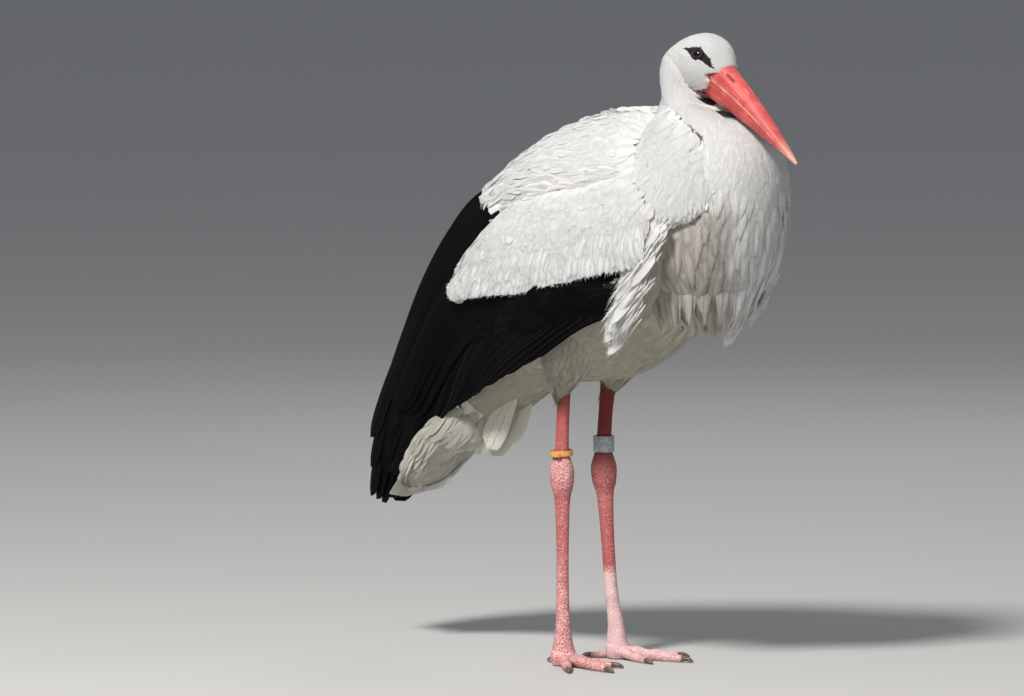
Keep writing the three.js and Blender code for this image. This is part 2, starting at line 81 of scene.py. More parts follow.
studio = {
    "sky": (0.87, 0.92, 1.0, 0.30),  # colour and strength of the light from all round
    "lamps": [
        # name, place, aimed at and width in metres, watts, colour
        ("key", (0.75, -2.9, 3.5), (0.0, 0.0, 0.45), 0.8, 285, (1.0, 0.978, 0.945)),
        ("fill", (3.4, -2.4, 1.4), (0.0, 0.0, 0.35), 2.6, 5, (0.84, 0.91, 1.0)),
        ("rim", (-1.6, 2.6, 2.4), (0.0, 0.0, 0.45), 1.6, 16, (1.0, 0.98, 0.95)),
    ],
    "floor": (0.46, 0.455, 0.445),
    "floorHalf": 40.0,  # metres
}


def setStudio():
    bpy.context.scene.view_settings.view_transform = "Standard"
    world = bpy.data.worlds.new("studio")
    bpy.context.scene.world = world
    world.use_nodes = True
    background = world.node_tree.nodes["Background"]
    background.inputs["Color"].default_value = (*studio["sky"][:3], 1)
    background.inputs["Strength"].default_value = studio["sky"][3]
    for name, place, aim, width, watts, colour in studio["lamps"]:
        data = bpy.data.lights.new(name, "AREA")
        data.shape = "DISK"
        data.size = width
        data.energy = watts
        data.color = colour
        turned = (Vector(aim) - Vector(place)).to_track_quat("-Z", "Y").to_matrix().to_4x4()
        addObject(name, data).matrix_world = Matrix.Translation(place) @ turned
    half = studio["floorHalf"]
    mesh = bpy.data.meshes.new("floor")
    corners = [(-half, -half, 0), (half, -half, 0), (half, half, 0), (-half, half, 0)]
    mesh.from_pydata(corners, [], [(0, 1, 2, 3)])
    paint = Finish("floor_paint")
    mottle = paint.noise(paint.coordinates(), 3, 4)
    colour = paint.blend(mottle, scaledColour(studio["floor"], 0.98), scaledColour(studio["floor"], 1.02))
    mesh.materials.append(paint.surface(colour, 0.9, 0.2))
    addObject("floor", mesh)


def scaledColour(colour, k):
    return tuple(min(1.0, c * k) for c in colour[:3]) + (1.0,)


class Socket:
    # One output of a shader node. An expression on it adds the Math nodes that work it out.
    def __init__(self, finish, out):
        self.finish, self.out = finish, out

    def maths(self, operation, *values):
        return self.finish.node("ShaderNodeMath", {"operation": operation}, dict(enumerate(values)))

    def __rsub__(self, other):
        return self.maths("SUBTRACT", other, self)

    def rise(self, low, high):
        # 0 below low and 1 above high, with a smooth step between them; low may be the higher of the two
        inputs = {"Value": self, "From Min": low, "From Max": high}
        return self.finish.node("ShaderNodeMapRange", {"interpolation_type": "SMOOTHSTEP"}, inputs)


def mathsMethod(operation):
    return lambda self, *others: self.maths(operation, self, *others)


for method, operation in {
    "__add__": "ADD",
    "__radd__": "ADD",
    "__sub__": "SUBTRACT",
    "__mul__": "MULTIPLY",
    "__rmul__": "MULTIPLY",
    "__abs__": "ABSOLUTE",
    "sine": "SINE",
    "least": "MINIMUM",
    "most": "MAXIMUM",
}.items():
    setattr(Socket, method, mathsMethod(operation))


class Finish:
    # A material and the nodes that make it.
    def __init__(self, name):
        self.material = bpy.data.materials.new(name)
        self.material.use_nodes = True
        self.tree = self.material.node_tree
        self.tree.nodes.clear()

    def node(self, kind, settings, inputs, output=0):
        made = self.tree.nodes.new(kind)
        for key, value in settings.items():
            setattr(made, key, value)
        for key, value in inputs.items():
            if isinstance(value, Socket):
                self.tree.links.new(value.out, made.inputs[key])
            else:
                made.inputs[key].default_value = value
        return Socket(self, made.outputs[output]) if made.outputs else None

    def coordinates(self, scale=(1, 1, 1)):
        # the piece's own space, which is the bird's, stretched by scale
        place = self.node("ShaderNodeTexCoord", {}, {}, "Object")
        return self.node("ShaderNodeMapping", {}, {"Vector": place, "Scale": scale})

    def uv(self, name):
        return self.node("ShaderNodeUVMap", {"uv_map": name}, {})

    def split(self, vector):
        made = self.tree.nodes.new("ShaderNodeSeparateXYZ")
        self.tree.links.new(vector.out, made.inputs[0])
        return [Socket(self, out) for out in made.outputs]

    def join(self, x, y, z):
        return self.node("ShaderNodeCombineXYZ", {}, {"X": x, "Y": y, "Z": z})

    def attribute(self, name):
        return self.node("ShaderNodeAttribute", {"attribute_name": name}, {}, "Fac")

    def noise(self, place, scale, detail=3, rough=0.55):
        inputs = {"Vector": place, "Scale": scale, "Detail": detail, "Roughness": rough}
        return self.node("ShaderNodeTexNoise", {}, inputs)

    def blend(self, amount, low, high):
        # low where amount is 0 and high where it is 1; each is a colour or a colour socket
        low, high = (value if isinstance(value, Socket) else (*value[:3], 1) for value in (low, high))
        return self.node("ShaderNodeMix", {"data_type": "RGBA"}, {0: amount, 6: low, 7: high}, 2)

    def bump(self, height, distance, strength=1.0):
        return self.node("ShaderNodeBump", {}, {"Height": height, "Distance": distance, "Strength": strength})

    def surface(self, colour, roughness, specular=0.5, normal=None, others=()):
        inputs = {"Base Color": colour, "Roughness": roughness, "Specular IOR Level": specular}
        inputs.update(others)
        if normal:
            inputs["Normal"] = normal
        shader = self.node("ShaderNodeBsdfPrincipled", {}, inputs)
        self.node("ShaderNodeOutputMaterial", {}, {"Surface": shader})
        return self.material


def unit(vectors):
    return vectors / np.maximum(np.linalg.norm(vectors, axis=-1, keepdims=True), 1e-12)


def alongPath(points):
    # how far each point of a path is from its start, along the path
    return np.concatenate([[0], np.cumsum(np.linalg.norm(np.diff(points, axis=0), axis=1))])


def flip(mirror):
    # what the right side's x, y and z are multiplied by to make this side
    return np.array([1, -1 if mirror else 1, 1])


def throughKnots(knots, t):
    # A smooth curve through the knots. Between two of them it is the cubic whose slope at each knot is half
    # the step from the knot before to the knot after; past the ends the row of knots goes straight on.
    knots = np.asarray(knots, float)
    padded = np.vstack([2 * knots[:1] - knots[1:2], knots, 2 * knots[-1:] - knots[-2:-1]])
    along = np.clip(t, 0, 1) * (len(knots) - 1)
    first = np.minimum(along.astype(int), len(knots) - 2)
    f = (along - first)[..., None]
    a, b, c, d = (padded[first + k] for k in range(4))
    return 0.5 * (2 * b + (c - a) * f + (2 * a - 5 * b + 4 * c - d) * f**2 + (3 * b - a - 3 * c + d) * f**3)


class Loft:
    # A body carried through stations of a middle, two half axes and a bow. With k the shrinkage near a round
    # end, point(u, v) = at(u) + k cos v across(u) + k sin v thick(u) + (1 - (k cos v)^2) bow(u).
    def __init__(self, stations, roundStart, roundEnd, place=None, mirror=False):
        self.curves = [
            np.array([station.get(key, (0, 0, 0)) for station in stations], float)
            for key in ("at", "across", "thick", "bow")
        ]
        self.roundStart, self.roundEnd = roundStart, roundEnd
        self.place, self.mirror = place, mirror
        middle = self.point(np.array([0.5, 0.5]), np.array([pi / 2, -pi / 2]))
        self.sign = 1.0
        _, _, _, normal = self.frame(np.array([0.5]), np.array([pi / 2]))
        self.sign = float(np.sign(normal[0] @ (middle[0] - middle[1])))

    def inset(self, depth):
        # the same body with its half axes shorter by depth, and never less than half as long
        inner = Loft.__new__(Loft)
        inner.__dict__.update(self.__dict__)
        at, *axes, bow = self.curves
        lengths = [np.maximum(np.linalg.norm(axis, axis=1, keepdims=True), 1e-9) for axis in axes]
        axes = [axis * np.maximum(0.5, 1 - depth / length) for axis, length in zip(axes, lengths)]
        inner.curves = [at, *axes, bow]
        return inner

    def point(self, u, v):
        u, v = np.broadcast_arrays(np.asarray(u, float), np.asarray(v, float))
        at, across, thick, bow = (throughKnots(c, u) for c in self.curves)
        near = np.clip(u / self.roundStart, 0, 1)
        far = np.clip((1 - u) / self.roundEnd, 0, 1) if self.roundEnd else np.ones_like(u)
        shrink = np.sqrt(np.maximum(0, 1 - (1 - near) ** 2)) * np.sqrt(np.maximum(0, 1 - (1 - far) ** 2))
        aside = (shrink * np.cos(v))[..., None]
        out = (shrink * np.sin(v))[..., None]
        points = at + across * aside + thick * out + bow * (1 - aside**2)
        if self.place:
            points = self.place(points)
        return points * flip(self.mirror) * mm

    def frame(self, u, v):
        # point, its slopes along u and v, and the outward normal, from small steps to each side
        e = 1e-3
        low, high = np.clip(u - e, 0, 1), np.clip(u + e, 0, 1)
        alongU = (self.point(high, v) - self.point(low, v)) / (high - low)[..., None]
        alongV = (self.point(u, v + e) - self.point(u, v - e)) / (2 * e)
        return self.point(u, v), alongU, alongV, unit(np.cross(alongU, alongV)) * self.sign

    def grid(self, rows, columns):
        # rows crowd towards the rounded ends, as a cosine does
        u = (1 - np.cos(pi * np.linspace(0, 1, rows))) / 2
        return self.point(u[:, None], np.linspace(0, 2 * pi, columns, endpoint=False)[None, :])

    def holds(self, points, margin=1.0, samples=90):
        # whether each point lies inside: near the plane of some section, and within that section's ellipse
        u = (np.arange(samples) + 0.5) / samples
        top, bottom, one, other = (self.point(u, np.full(samples, v)) * 0.5 for v in (pi / 2, -pi / 2, 0, pi))
        at, across, thick = top + bottom, one - other, top - bottom
        facing = unit(np.cross(across, thick))
        reach = np.abs((np.gradient(at, axis=0) * facing).sum(-1)) * 0.75
        offset = points[:, None, :] - at[None]
        a = (offset * across).sum(-1) / (across**2).sum(-1)
        offset = offset + (at - (one + other)) * (a**2)[..., None]
        b = (offset * thick).sum(-1) / (thick**2).sum(-1)
        off = np.abs((offset * facing).sum(-1))
        return ((a**2 + b**2 < margin**2) & (off < reach)).any(1)


def outside(points, lofts, margin):
    # whether each point lies outside all of the lofts, each shrunk to margin of its size
    return ~np.any([loft.holds(points, margin) for loft in lofts], axis=0)


def across(rows):
    # Sections across the bird's middle plane: each runs from a point (x, z) on the upper outline to one on
    # the lower, and has a half width.
    stations = []
    for upper, lower, half in rows:
        upper, lower = np.insert(np.array([upper, lower], float), 1, 0, axis=1)
        stations.append({"at": (upper + lower) / 2, "across": (0, half, 0), "thick": (upper - lower) / 2})
    return stations


def panel(rows):
    # Sections of a folded wing: each runs from an upper edge to a lower one, is so thick, and bulges away
    # from the body. The way out is at a right angle to the section and to the row of their middles.
    upper, lower = (np.array([row[k] for row in rows], float) for k in (0, 1))
    middles = (upper + lower) / 2
    ahead = np.vstack([middles[1:], middles[-1:]])
    behind = np.vstack([middles[:1], middles[:-1]])
    out = unit(np.cross(upper - lower, ahead - behind))
    out *= np.where(out[:, 1:2] > 0, -1, 1)
    half = (upper - lower) / 2
    return [
        {"at": middles[i], "across": half[i], "thick": out[i] * row[2] / 2, "bow": out[i] * row[3]}
        for i, row in enumerate(rows)
    ]


def closedTube(grid):
    # points and faces of a tube through the grid's rows, with a point in the middle of each end to close it
    rows, columns = grid.shape[:2]
    points = np.vstack([grid.reshape(-1, 3), grid[0].mean(0), grid[-1].mean(0)])
    index = np.arange(rows * columns).reshape(rows, columns)
    right = np.roll(index, -1, axis=1)
    quads = np.stack([index[:-1], right[:-1], right[1:], index[1:]], -1).reshape(-1, 4)
    first = np.stack([right[0], index[0], np.full(columns, rows * columns)], -1)
    last = np.stack([index[-1], right[-1], np.full(columns, rows * columns + 1)], -1)
    return points, [quads, np.vstack([first, last])]


def turnedRound(faces):
    return [part[:, ::-1] for part in faces]


def joinShells(shells):
    # several (points, [quads, triangles]) into one
    shift = np.cumsum([0] + [len(points) for points, _ in shells])
    points = np.vstack([points for points, _ in shells])
    faces = [np.vstack([part[1][k] + shift[i] for i, part in enumerate(shells)]) for k in (0, 1)]
    return points, faces


def newMesh(name, points, faces, uvs=(), attributes=()):
    # faces is a list of arrays, each with as many corners in every row; they are kept in that order
    mesh = bpy.data.meshes.new(name)
    corners = np.concatenate([part.reshape(-1) for part in faces]).astype(np.int32)
    totals = np.concatenate([np.full(len(part), part.shape[1]) for part in faces])
    starts = np.concatenate([[0], np.cumsum(totals)[:-1]]).astype(np.int32)
    mesh.vertices.add(len(points))
    mesh.vertices.foreach_set("co", np.asarray(points, np.float32).reshape(-1))
    mesh.loops.add(len(corners))
    mesh.loops.foreach_set("vertex_index", corners)
    mesh.polygons.add(len(starts))
    mesh.polygons.foreach_set("loop_start", starts)
    for key, values in dict(uvs).items():
        layer = mesh.uv_layers.new(name=key)
        layer.uv.foreach_set("vector", np.asarray(values, np.float32)[corners].reshape(-1))
    for key, values in dict(attributes).items():
        mesh.attributes.new(key, "FLOAT", "POINT").data.foreach_set("value", np.asarray(values, np.float32))
    mesh.update(calc_edges=True)
    mesh.polygons.foreach_set("use_smooth", np.ones(len(starts), bool))
    return mesh


def addPiece(mesh, material, replaced=()):
    piece = addObject(mesh.name, mesh)
    mesh.materials.append(material)
    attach(piece, "root")
    if replaced:
        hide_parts(*replaced)


def readOut(items, key, width, kind):
    # one value, or width of them, of each of a mesh's items
    values = np.zeros(len(items) * width, kind)
    items.foreach_get(key, values)
    return values


def fused(points, faces, voxel, rounds):
    # one surface round overlapping shells: they are turned into voxels and back, and then smoothed
    mesh = newMesh("fused", points, faces)
    piece = addObject("fused", mesh)
    remesh = piece.modifiers.new("remesh", "REMESH")
    remesh.mode = "VOXEL"
    remesh.voxel_size = voxel
    smooth = piece.modifiers.new("smooth", "SMOOTH")
    smooth.factor = 0.5
    smooth.iterations = rounds
    made = bpy.data.meshes.new_from_object(piece.evaluated_get(bpy.context.evaluated_depsgraph_get()))
    bpy.data.objects.remove(piece)
    bpy.data.meshes.remove(mesh)
    co = readOut(made.vertices, "co", 3, np.float32)
    corners = readOut(made.loops, "vertex_index", 1, np.int32)
    totals = readOut(made.polygons, "loop_total", 1, np.int32)
    bpy.data.meshes.remove(made)
    starts = np.concatenate([[0], np.cumsum(totals)[:-1]])
    quads, triangles = (corners[starts[totals == size][:, None] + np.arange(size)] for size in (4, 3))
    return co.reshape(-1, 3).astype(float), [quads, triangles]


def nearestGroup(points, groups):
    # for each point, which group of sample points holds the nearest one
    samples = np.vstack(groups).astype(np.float32)
    group = np.repeat(np.arange(len(groups)), [len(g) for g in groups])
    found = np.zeros(len(points), int)
    for start in range(0, len(points), 4000):
        part = points[start : start + 4000].astype(np.float32)
        far = (samples**2).sum(1)[None] - 2 * part @ samples.T
        found[start : start + 4000] = group[far.argmin(1)]
    return found


trunk = {
    "sections": [
        ((-205, 290), (-158, 226), 20), ((-186, 345), (-140, 236), 34), ((-155, 405), (-95, 252), 52),
        ((-112, 456), (-42, 283), 74), ((-58, 500), (10, 288), 92), ((0, 532), (62, 298), 99),
        ((58, 550), (112, 330), 101), ((112, 558), (164, 374), 96), ((160, 548), (204, 432), 86),
        ((196, 512), (224, 478), 68),
    ],
    "round": (0.06, 0.22),
}
neck = {
    "sections": [
        ((202, 352), (150, 350), 30), ((218, 388), (108, 366), 56), ((233, 436), (90, 404), 75),
        ((239, 484), (82, 450), 79), ((235, 524), (84, 498), 70), ((218, 553), (94, 544), 53),
        ((197, 564), (104, 573), 40), ((173, 570), (108, 589), 29), ((151, 577), (113, 601), 19),
    ],
    "round": (0.2, 0.12),
}
head = {
    "at": (145, 0, 609),
    "pitch": 32,  # degrees that the bill points below the horizon
    "yaw": -10,
    "sections": [
        ((-37, -2), (-39, -16), 10), ((-30, 10), (-34, -26), 20), ((-20, 25), (-24, -30), 26),
        ((-8, 35), (-8, -28), 27.5), ((6, 40), (8, -24), 27.5), ((20, 39), (22, -19), 25),
        ((32, 34), (33, -15), 20), ((43, 27), (41, -12), 14), ((49, 20), (46, -6), 9),
    ],
    "round": (0.14, 0.16),
}
covert = {
    "rows": [
        ((158, -75, 500), (176, -84, 438), 18, 8), ((124, -86, 503), (136, -94, 404), 20, 11),
        ((76, -88, 493), (62, -96, 383), 20, 13), ((20, -84, 484), (-10, -93, 367), 20, 13),
        ((-36, -74, 470), (-66, -86, 365), 18, 12), ((-80, -66, 442), (-109, -76, 366), 13, 8),
        ((-113, -62, 406), (-133, -70, 372), 8, 3),
    ],
    "round": (0.14, 0.12),
}
scapular = {
    "rows": [
        ((122, -20, 558), (140, -80, 512), 16, 5), ((78, -10, 562), (100, -88, 500), 22, 10),
        ((28, -8, 556), (46, -86, 484), 24, 12), ((-26, -8, 537), (-12, -78, 476), 24, 11),
        ((-78, -12, 506), (-66, -62, 468), 17, 7), ((-119, -28, 470), (-108, -46, 456), 9, 2),
    ],
    "round": (0.16, 0.1),
}
shoulder = {
    # the mantle and the side of the breast, which lap over the foot of the neck; from the front to the rear
    "rows": [
        ((209, -50, 515), (213, -56, 470), 5, 1), ((197, -50, 538), (203, -67, 462), 9, 2),
        ((175, -52, 556), (183, -80, 455), 13, 5), ((148, -46, 569), (160, -90, 450), 16, 8),
        ((124, -28, 566), (138, -94, 452), 18, 11), ((98, -10, 559), (114, -94, 466), 18, 11),
        ((66, -6, 554), (84, -88, 484), 14, 9), ((38, -6, 548), (54, -84, 494), 8, 3),
    ],
    "round": (0.2, 0.16),
}
nape = {
    "sections": [
        ((140, 619), (112, 630), 23), ((158, 605), (103.5, 612), 29), ((156, 590), (104.5, 597), 31.5),
        ((162, 576), (108, 583), 34), ((182, 561), (106, 568), 39.5),
    ],
    "round": (0.1, 0.1),
}
flight = {
    "rows": [
        ((140, -94, 412), (118, -92, 366), 8, 4), ((84, -96, 424), (66, -92, 350), 14, 8),
        ((20, -90, 436), (4, -86, 318), 18, 12), ((-72, -52, 474), (-63, -66, 286), 20, 18),
        ((-148, -15, 458), (-122, -45, 260), 20, 22), ((-200, -11, 398), (-168, -33, 242), 18, 18),
        ((-239, -9, 326), (-206, -28, 219), 14, 12), ((-268, -8, 262), (-235, -24, 195), 10, 7),
        ((-286, -8, 200), (-262, -18, 168), 6, 3),
    ],
    "round": (0.06, 0.1),
}
tailRoot = {
    "sections": [
        ((-150, 334), (-108, 244), 32), ((-182, 284), (-142, 212), 40), ((-210, 238), (-176, 201), 40),
        ((-234, 200), (-210, 177), 35), ((-250, 174), (-238, 160), 28),
    ],
    "round": (0.2, 0.2),
}
thigh = {
    "stations": [
        {"at": (40, -46, 372), "across": (46, 0, 0), "thick": (0, 34, 0)},
        {"at": (28, -46, 340), "across": (44, 0, 0), "thick": (0, 32, 0)},
        {"at": (14, -44, 314), "across": (34, 0, 0), "thick": (0, 25, 0)},
        {"at": (2, -41, 294), "across": (21, 0, 0), "thick": (0, 16, 0)},
        {"at": (-4, -39, 282), "across": (12, 0, 0), "thick": (0, 10.5, 0)},
    ],
    "round": (0.15, 0.0),
}


yaw, pitch = (Matrix.Rotation(radians(head[key]), 3, axis) for key, axis in (("yaw", "Z"), ("pitch", "Y")))
headTurn = np.array(yaw @ pitch)


def headPlace(points):
    # from the head's own frame, where +X points along the bill, to the bird's
    return points @ headTurn.T + np.array(head["at"])


def headInverse(points):
    # from the bird's frame, in metres, back to the head's own, in millimetres
    return (np.asarray(points) / mm - np.array(head["at"])) @ headTurn


trunkLoft, neckLoft, tailLoft, napeLoft = (
    Loft(across(form["sections"]), *form["round"]) for form in (trunk, neck, tailRoot, nape)
)
headLoft = Loft(across(head["sections"]), *head["round"], place=headPlace)
covertLofts, scapularLofts, shoulderLofts, flightLofts = (
    [Loft(panel(form["rows"]), *form["round"], mirror=mirror) for _, mirror in rightLeft]
    for form in (covert, scapular, shoulder, flight)
)
thighLofts = [Loft(thigh["stations"], *thigh["round"], mirror=mirror) for _, mirror in rightLeft]
print("stage: forms")


eye = {
    "at": (12.3, -16.3, 21.3),  # middle of the ball, in the head's frame
    "radius": 9.5,
    "iris": 4.3,
    "pupil": 2.4,
    "lid": 4.9,  # from the eye's axis to the middle of the lid's edge
}
mask = {
    # x and z along its middle, and its half height at each of those places
    "line": [
        (-8, 18.6), (-3, 20.2), (2, 22.4), (10.5, 24.9), (16.4, 25.3), (21.8, 25.2), (27, 24.4), (32, 22.8),
        (38, 20.4)
    ],
    "half": [0.3, 1.3, 2.8, 6.0, 5.9, 4.0, 3.4, 2.7, 0.8],
    "leftShare": 0.7,  # the left side's is narrower by this
    "inner": 8,  # it keeps this far from the middle of the head
    "blur": 1.2,
}


def maskShare(points):
    # 1 on the bare black skin and 0 away from it
    x, y, z = np.moveaxis(headInverse(points), -1, 0)
    line = np.array(mask["line"], float)
    half = np.interp(x, line[:, 0], mask["half"], left=0, right=0) * np.where(y > 0, mask["leftShare"], 1)
    away = np.abs(z - np.interp(x, line[:, 0], line[:, 1])) - half
    return np.clip(0.5 - away / mask["blur"], 0, 1) * (y**2 > mask["inner"] ** 2) * (half > 0)


bill = {
    "length": 137,  # from the feathers of the forehead to the tip
    "forehead": 40,  # x of those feathers
    "half": 12,
    "flare": 1.6,  # how much wider it is at the root, where it meets the cheeks
    "gapeRear": (20, 9),
    "gapeArch": 4.8,
    "nostril": (54.0, 22.6, 7.0, 0.8),  # x and z of its middle, half length and half height
    "axis": [(20, 0, 7), (177, 0, 2)],
    "bed": [(0, 0.1, 0.16, 0.3, 0.4, 0.5, 0.8, 1), (0, 15, 20.5, 18.5, 17, 15, 11, 8)],  # shares and radii
    "bare": 0.33,  # share of the axis along which the bed has no feathers
    "rows": 300,
    "columns": 120,
    "red": (0.42, 0.050, 0.048),
    "rose": (0.60, 0.12, 0.105),
    "pale": (0.78, 0.42, 0.34),
    "tip": (0.62, 0.34, 0.25),
    "deep": (0.34, 0.035, 0.03),
}


def billSection(t, upper):
    # middle line, half width and the height of ridge or keel over the line, at t from the root to the tip
    rear = np.array(bill["gapeRear"])
    line = rear + t[:, None] * (np.array([bill["forehead"] + bill["length"], 2]) - rear)
    line[:, 1] += bill["gapeArch"] * np.sin(pi * t)
    ridge = 30 - 27.2 * t + 3.2 * np.sin(pi * t)
    keel = -17 + 17.6 * t + 2.2 * np.sin(pi * t)
    half = (bill["half"] * (1 - t) ** 0.8 * (1 + 0.5 * t) + 1.2) * (1.0 if upper else 0.94)
    half = half + bill["flare"] * np.exp(-((t / 0.16) ** 2))
    return line, half, (ridge if upper else keel) - line[:, 1]


def insideBill(points, margin=0.0):
    # in the head's frame: within the arch of the upper half or of the lower one
    x, y, z = headInverse(points).T
    rear = bill["gapeRear"][0]
    t = (x - rear) / (bill["forehead"] + bill["length"] - rear)
    inside = np.zeros(len(x), bool)
    for upper in (True, False):
        line, half, height = billSection(np.clip(t, 0, 1), upper)
        up = (z - line[:, 1]) / height
        arch = np.abs(y) < (half + margin) * np.sqrt(np.clip(1 - np.clip(up, 0, 1) ** 2.35, 0, 1))
        inside |= (t > 0) & (up > -0.02) & (up < 1 + margin / 15) & arch
    return inside


def billAxis():
    return headPlace(np.array(bill["axis"], float)) * mm


def bedPlace(points):
    # share of the way along the bill's axis, its nearest point, the way from there, and the bed's radius
    root, tip = billAxis()
    way = tip - root
    t = np.clip((points - root) @ way / (way @ way), 0, 1)
    foot = root + t[..., None] * way
    return t, foot, points - foot, np.interp(t, *bill["bed"]) * mm


def bedded(points):
    # The plumage makes a bed for the bill. At a distance d from the bill's axis, and with r the bed's radius
    # there, a point moves straight away from the axis to the fourth root of d^4 + r^4.
    _, foot, away, r = bedPlace(points)
    d = np.maximum(np.linalg.norm(away, axis=-1), 1e-6)
    return foot + away * ((d**4 + r**4) ** 0.25 / d)[..., None]


def inSlot(points):
    # whether a point is in the bare slot between the root of the bill and the neck
    t, _, away, r = bedPlace(points)
    return (t > 0.02) & (t < bill["bare"]) & (np.linalg.norm(away, axis=-1) < 0.92 * r)


def nostrilShare(grid, falloff):
    # 1 in the slit of the nostril: exp(-x^4 - falloff z^2) of the shares of its half length and half height
    x0, z0, long, high = bill["nostril"]
    aside = grid[..., 0] - x0
    up = grid[..., 2] - z0 + 0.05 * aside
    return np.exp(-((aside / long) ** 4)) * np.exp(-((up / high) ** 2) * falloff)


def billGrid(upper):
    # Each ring goes over the arch and back along the gape: on the arch it is (half cos w, height sin^0.85 w),
    # and on the flat it is a straight line. The tip closes as an ellipse does.
    rows, columns = bill["rows"], bill["columns"]
    share = np.linspace(0, 1, rows)
    t = (1 - np.cos(0.5 * pi * share)) * 0.35 + share * 0.65
    t = t / t[-1]
    line, half, height = billSection(t, upper)
    close = np.sqrt(np.clip(1 - np.clip((t - 0.985) / 0.015, 0, 1) ** 2, 0, 1)) * 0.98 + 0.02
    half, height = half * close, height * close
    archCount = int(columns * 0.7)
    w = np.linspace(0, pi, archCount)
    flat = np.linspace(-1, 1, columns - archCount + 2)[1:-1]
    y = np.concatenate([np.cos(w), flat])
    z = np.concatenate([np.sin(w) ** 0.85, 0 * flat])
    grid = np.empty((rows, columns, 3))
    grid[..., 0] = line[:, :1]
    grid[..., 1] = half[:, None] * y
    grid[..., 2] = line[:, 1:] + height[:, None] * z
    side = np.sign(grid[..., 1])
    if upper:
        slit = nostrilShare(grid, 1) * (grid[..., 2] > line[:, 1:])
        grid[..., 1] -= side * slit * 2.6
        ridgeSide = np.exp(-(((grid[..., 2] - line[:, 1:]) / height[:, None] - 0.62) / 0.07) ** 2)
        grid[..., 1] -= side * ridgeSide * 0.35 * np.clip(1 - t * 1.4, 0, 1)[:, None]
    lip = np.exp(-((np.abs(grid[..., 2] - line[:, 1:]) - 1.6) / 0.8) ** 2)
    grid[..., 1] += side * lip * 0.35 * np.clip(1 - t, 0, 1)[:, None]
    if not upper:
        grid[..., 2] -= 0.35
    return grid, t


def billFinish():
    # coral horn: pale streaks along it, fine cracks across its root, pale edges at the gape and a worn tip
    paint = Finish("bill_horn")
    along = paint.attribute("along")  # 0 at the root and 1 at the tip
    rise = paint.attribute("rise")  # 0 at the gape and 1 at the ridge or keel
    cloud = paint.noise(paint.coordinates(), 55, 4, 0.6)
    lengthwise = paint.join(along * 9.0, rise * 24.0, along * rise * 4.0)
    crosswise = paint.join(along * 95.0, rise * 5.0, rise * rise)
    streaks = paint.noise(lengthwise, 1, 5, 0.6)
    cracks = paint.noise(crosswise, 1, 4, 0.6)
    worn = paint.noise(lengthwise, 2.6, 5, 0.66)
    scratches = streaks.rise(0.55, 0.66) * cloud.rise(0.34, 0.6)
    fissures = cracks.rise(0.6, 0.68) * along.rise(0.42, 0.1)
    wander = rise + 0.05 * (streaks - 0.5)
    edge = abs(wander - 0.045).rise(0.06, 0.01)
    ridge = abs(wander - 0.60).rise(0.035, 0.0) * along.rise(0.9, 0.4)
    red, rose, pale = bill["red"], bill["rose"], bill["pale"]
    colour = paint.blend(cloud.rise(0.35, 0.7), scaledColour(red, 0.9), scaledColour(red, 1.3))
    for amount, over in (
        (rise.rise(0.55, 0.95) * 0.35, rose),
        (scratches * 0.65, pale),
        (worn.rise(0.66, 0.74) * 0.55, pale),
        (fissures * 0.4, pale),
        (edge * (0.25 + 0.75 * cloud.rise(0.3, 0.6)) * 0.85, pale),
        (ridge * streaks.rise(0.35, 0.6) * 0.22, pale),
        (along.rise(0.74, 0.99) * 0.9, bill["tip"]),
        # painted shade in the slit of the nostril
        (paint.attribute("slit"), (0.05, 0.012, 0.01)),
        (along.rise(0.16, 0.06) * 0.35, bill["deep"]),
    ):
        colour = paint.blend(amount, colour, over)
    height = streaks * 0.5 + worn * 0.3 + fissures * 0.3
    return paint.surface(colour, 0.40 + 0.2 * scratches + 0.1 * cloud, 0.4, paint.bump(height, 0.0006, 0.6))


def makeBill():
    horn = billFinish()
    for name, upper in (("bill_upper", True), ("bill_lower", False)):
        grid, t = billGrid(upper)
        line, _, height = billSection(t, upper)
        rise = np.clip(np.abs((grid[..., 2] - line[:, 1:]) / height[:, None]), 0, 1)
        marks = {
            "along": np.broadcast_to(t[:, None], rise.shape),
            "rise": rise,
            # where the nostril's slit takes painted shade
            "slit": nostrilShare(grid, 1.5) * upper * (rise > 0.1),
        }
        points, faces = closedTube(headPlace(grid) * mm)
        ends = lambda values: np.append(values, [values[0].mean(), values[-1].mean()])
        marks = {key: ends(values) for key, values in marks.items()}
        mesh = newMesh("beak_" + name[5:], points, faces if upper else turnedRound(faces), attributes=marks)
        addPiece(mesh, horn, [name])
    print("stage: bill")


def eyeAxis(mirror):
    # middle of the ball, and the way out through the nearest point of the head's surface
    centre = headPlace(np.array(eye["at"], float) * flip(mirror)) * mm
    u, v = np.meshgrid(np.linspace(0.3, 0.8, 120), np.linspace(0, 2 * pi, 400))
    surface = headLoft.point(u, v)
    nearest = surface.reshape(-1, 3)[np.linalg.norm(surface - centre, axis=-1).argmin()]
    return centre, unit(nearest - centre)


def eyeFinish():
    paint = Finish("eye")
    away = paint.attribute("away")  # millimetres from the eye's axis
    fibres = paint.noise(paint.coordinates(), 900, 3)
    iris = paint.blend(fibres, (0.007, 0.005, 0.004), (0.018, 0.013, 0.010))
    colour = paint.blend(away.rise(eye["pupil"] - 0.2, eye["pupil"] + 0.2), (0.003, 0.003, 0.004), iris)
    colour = paint.blend(away.rise(eye["iris"] - 0.35, eye["iris"] + 0.1), colour, (0.01, 0.009, 0.009))
    return paint.surface(colour, 0.10, 0.2)


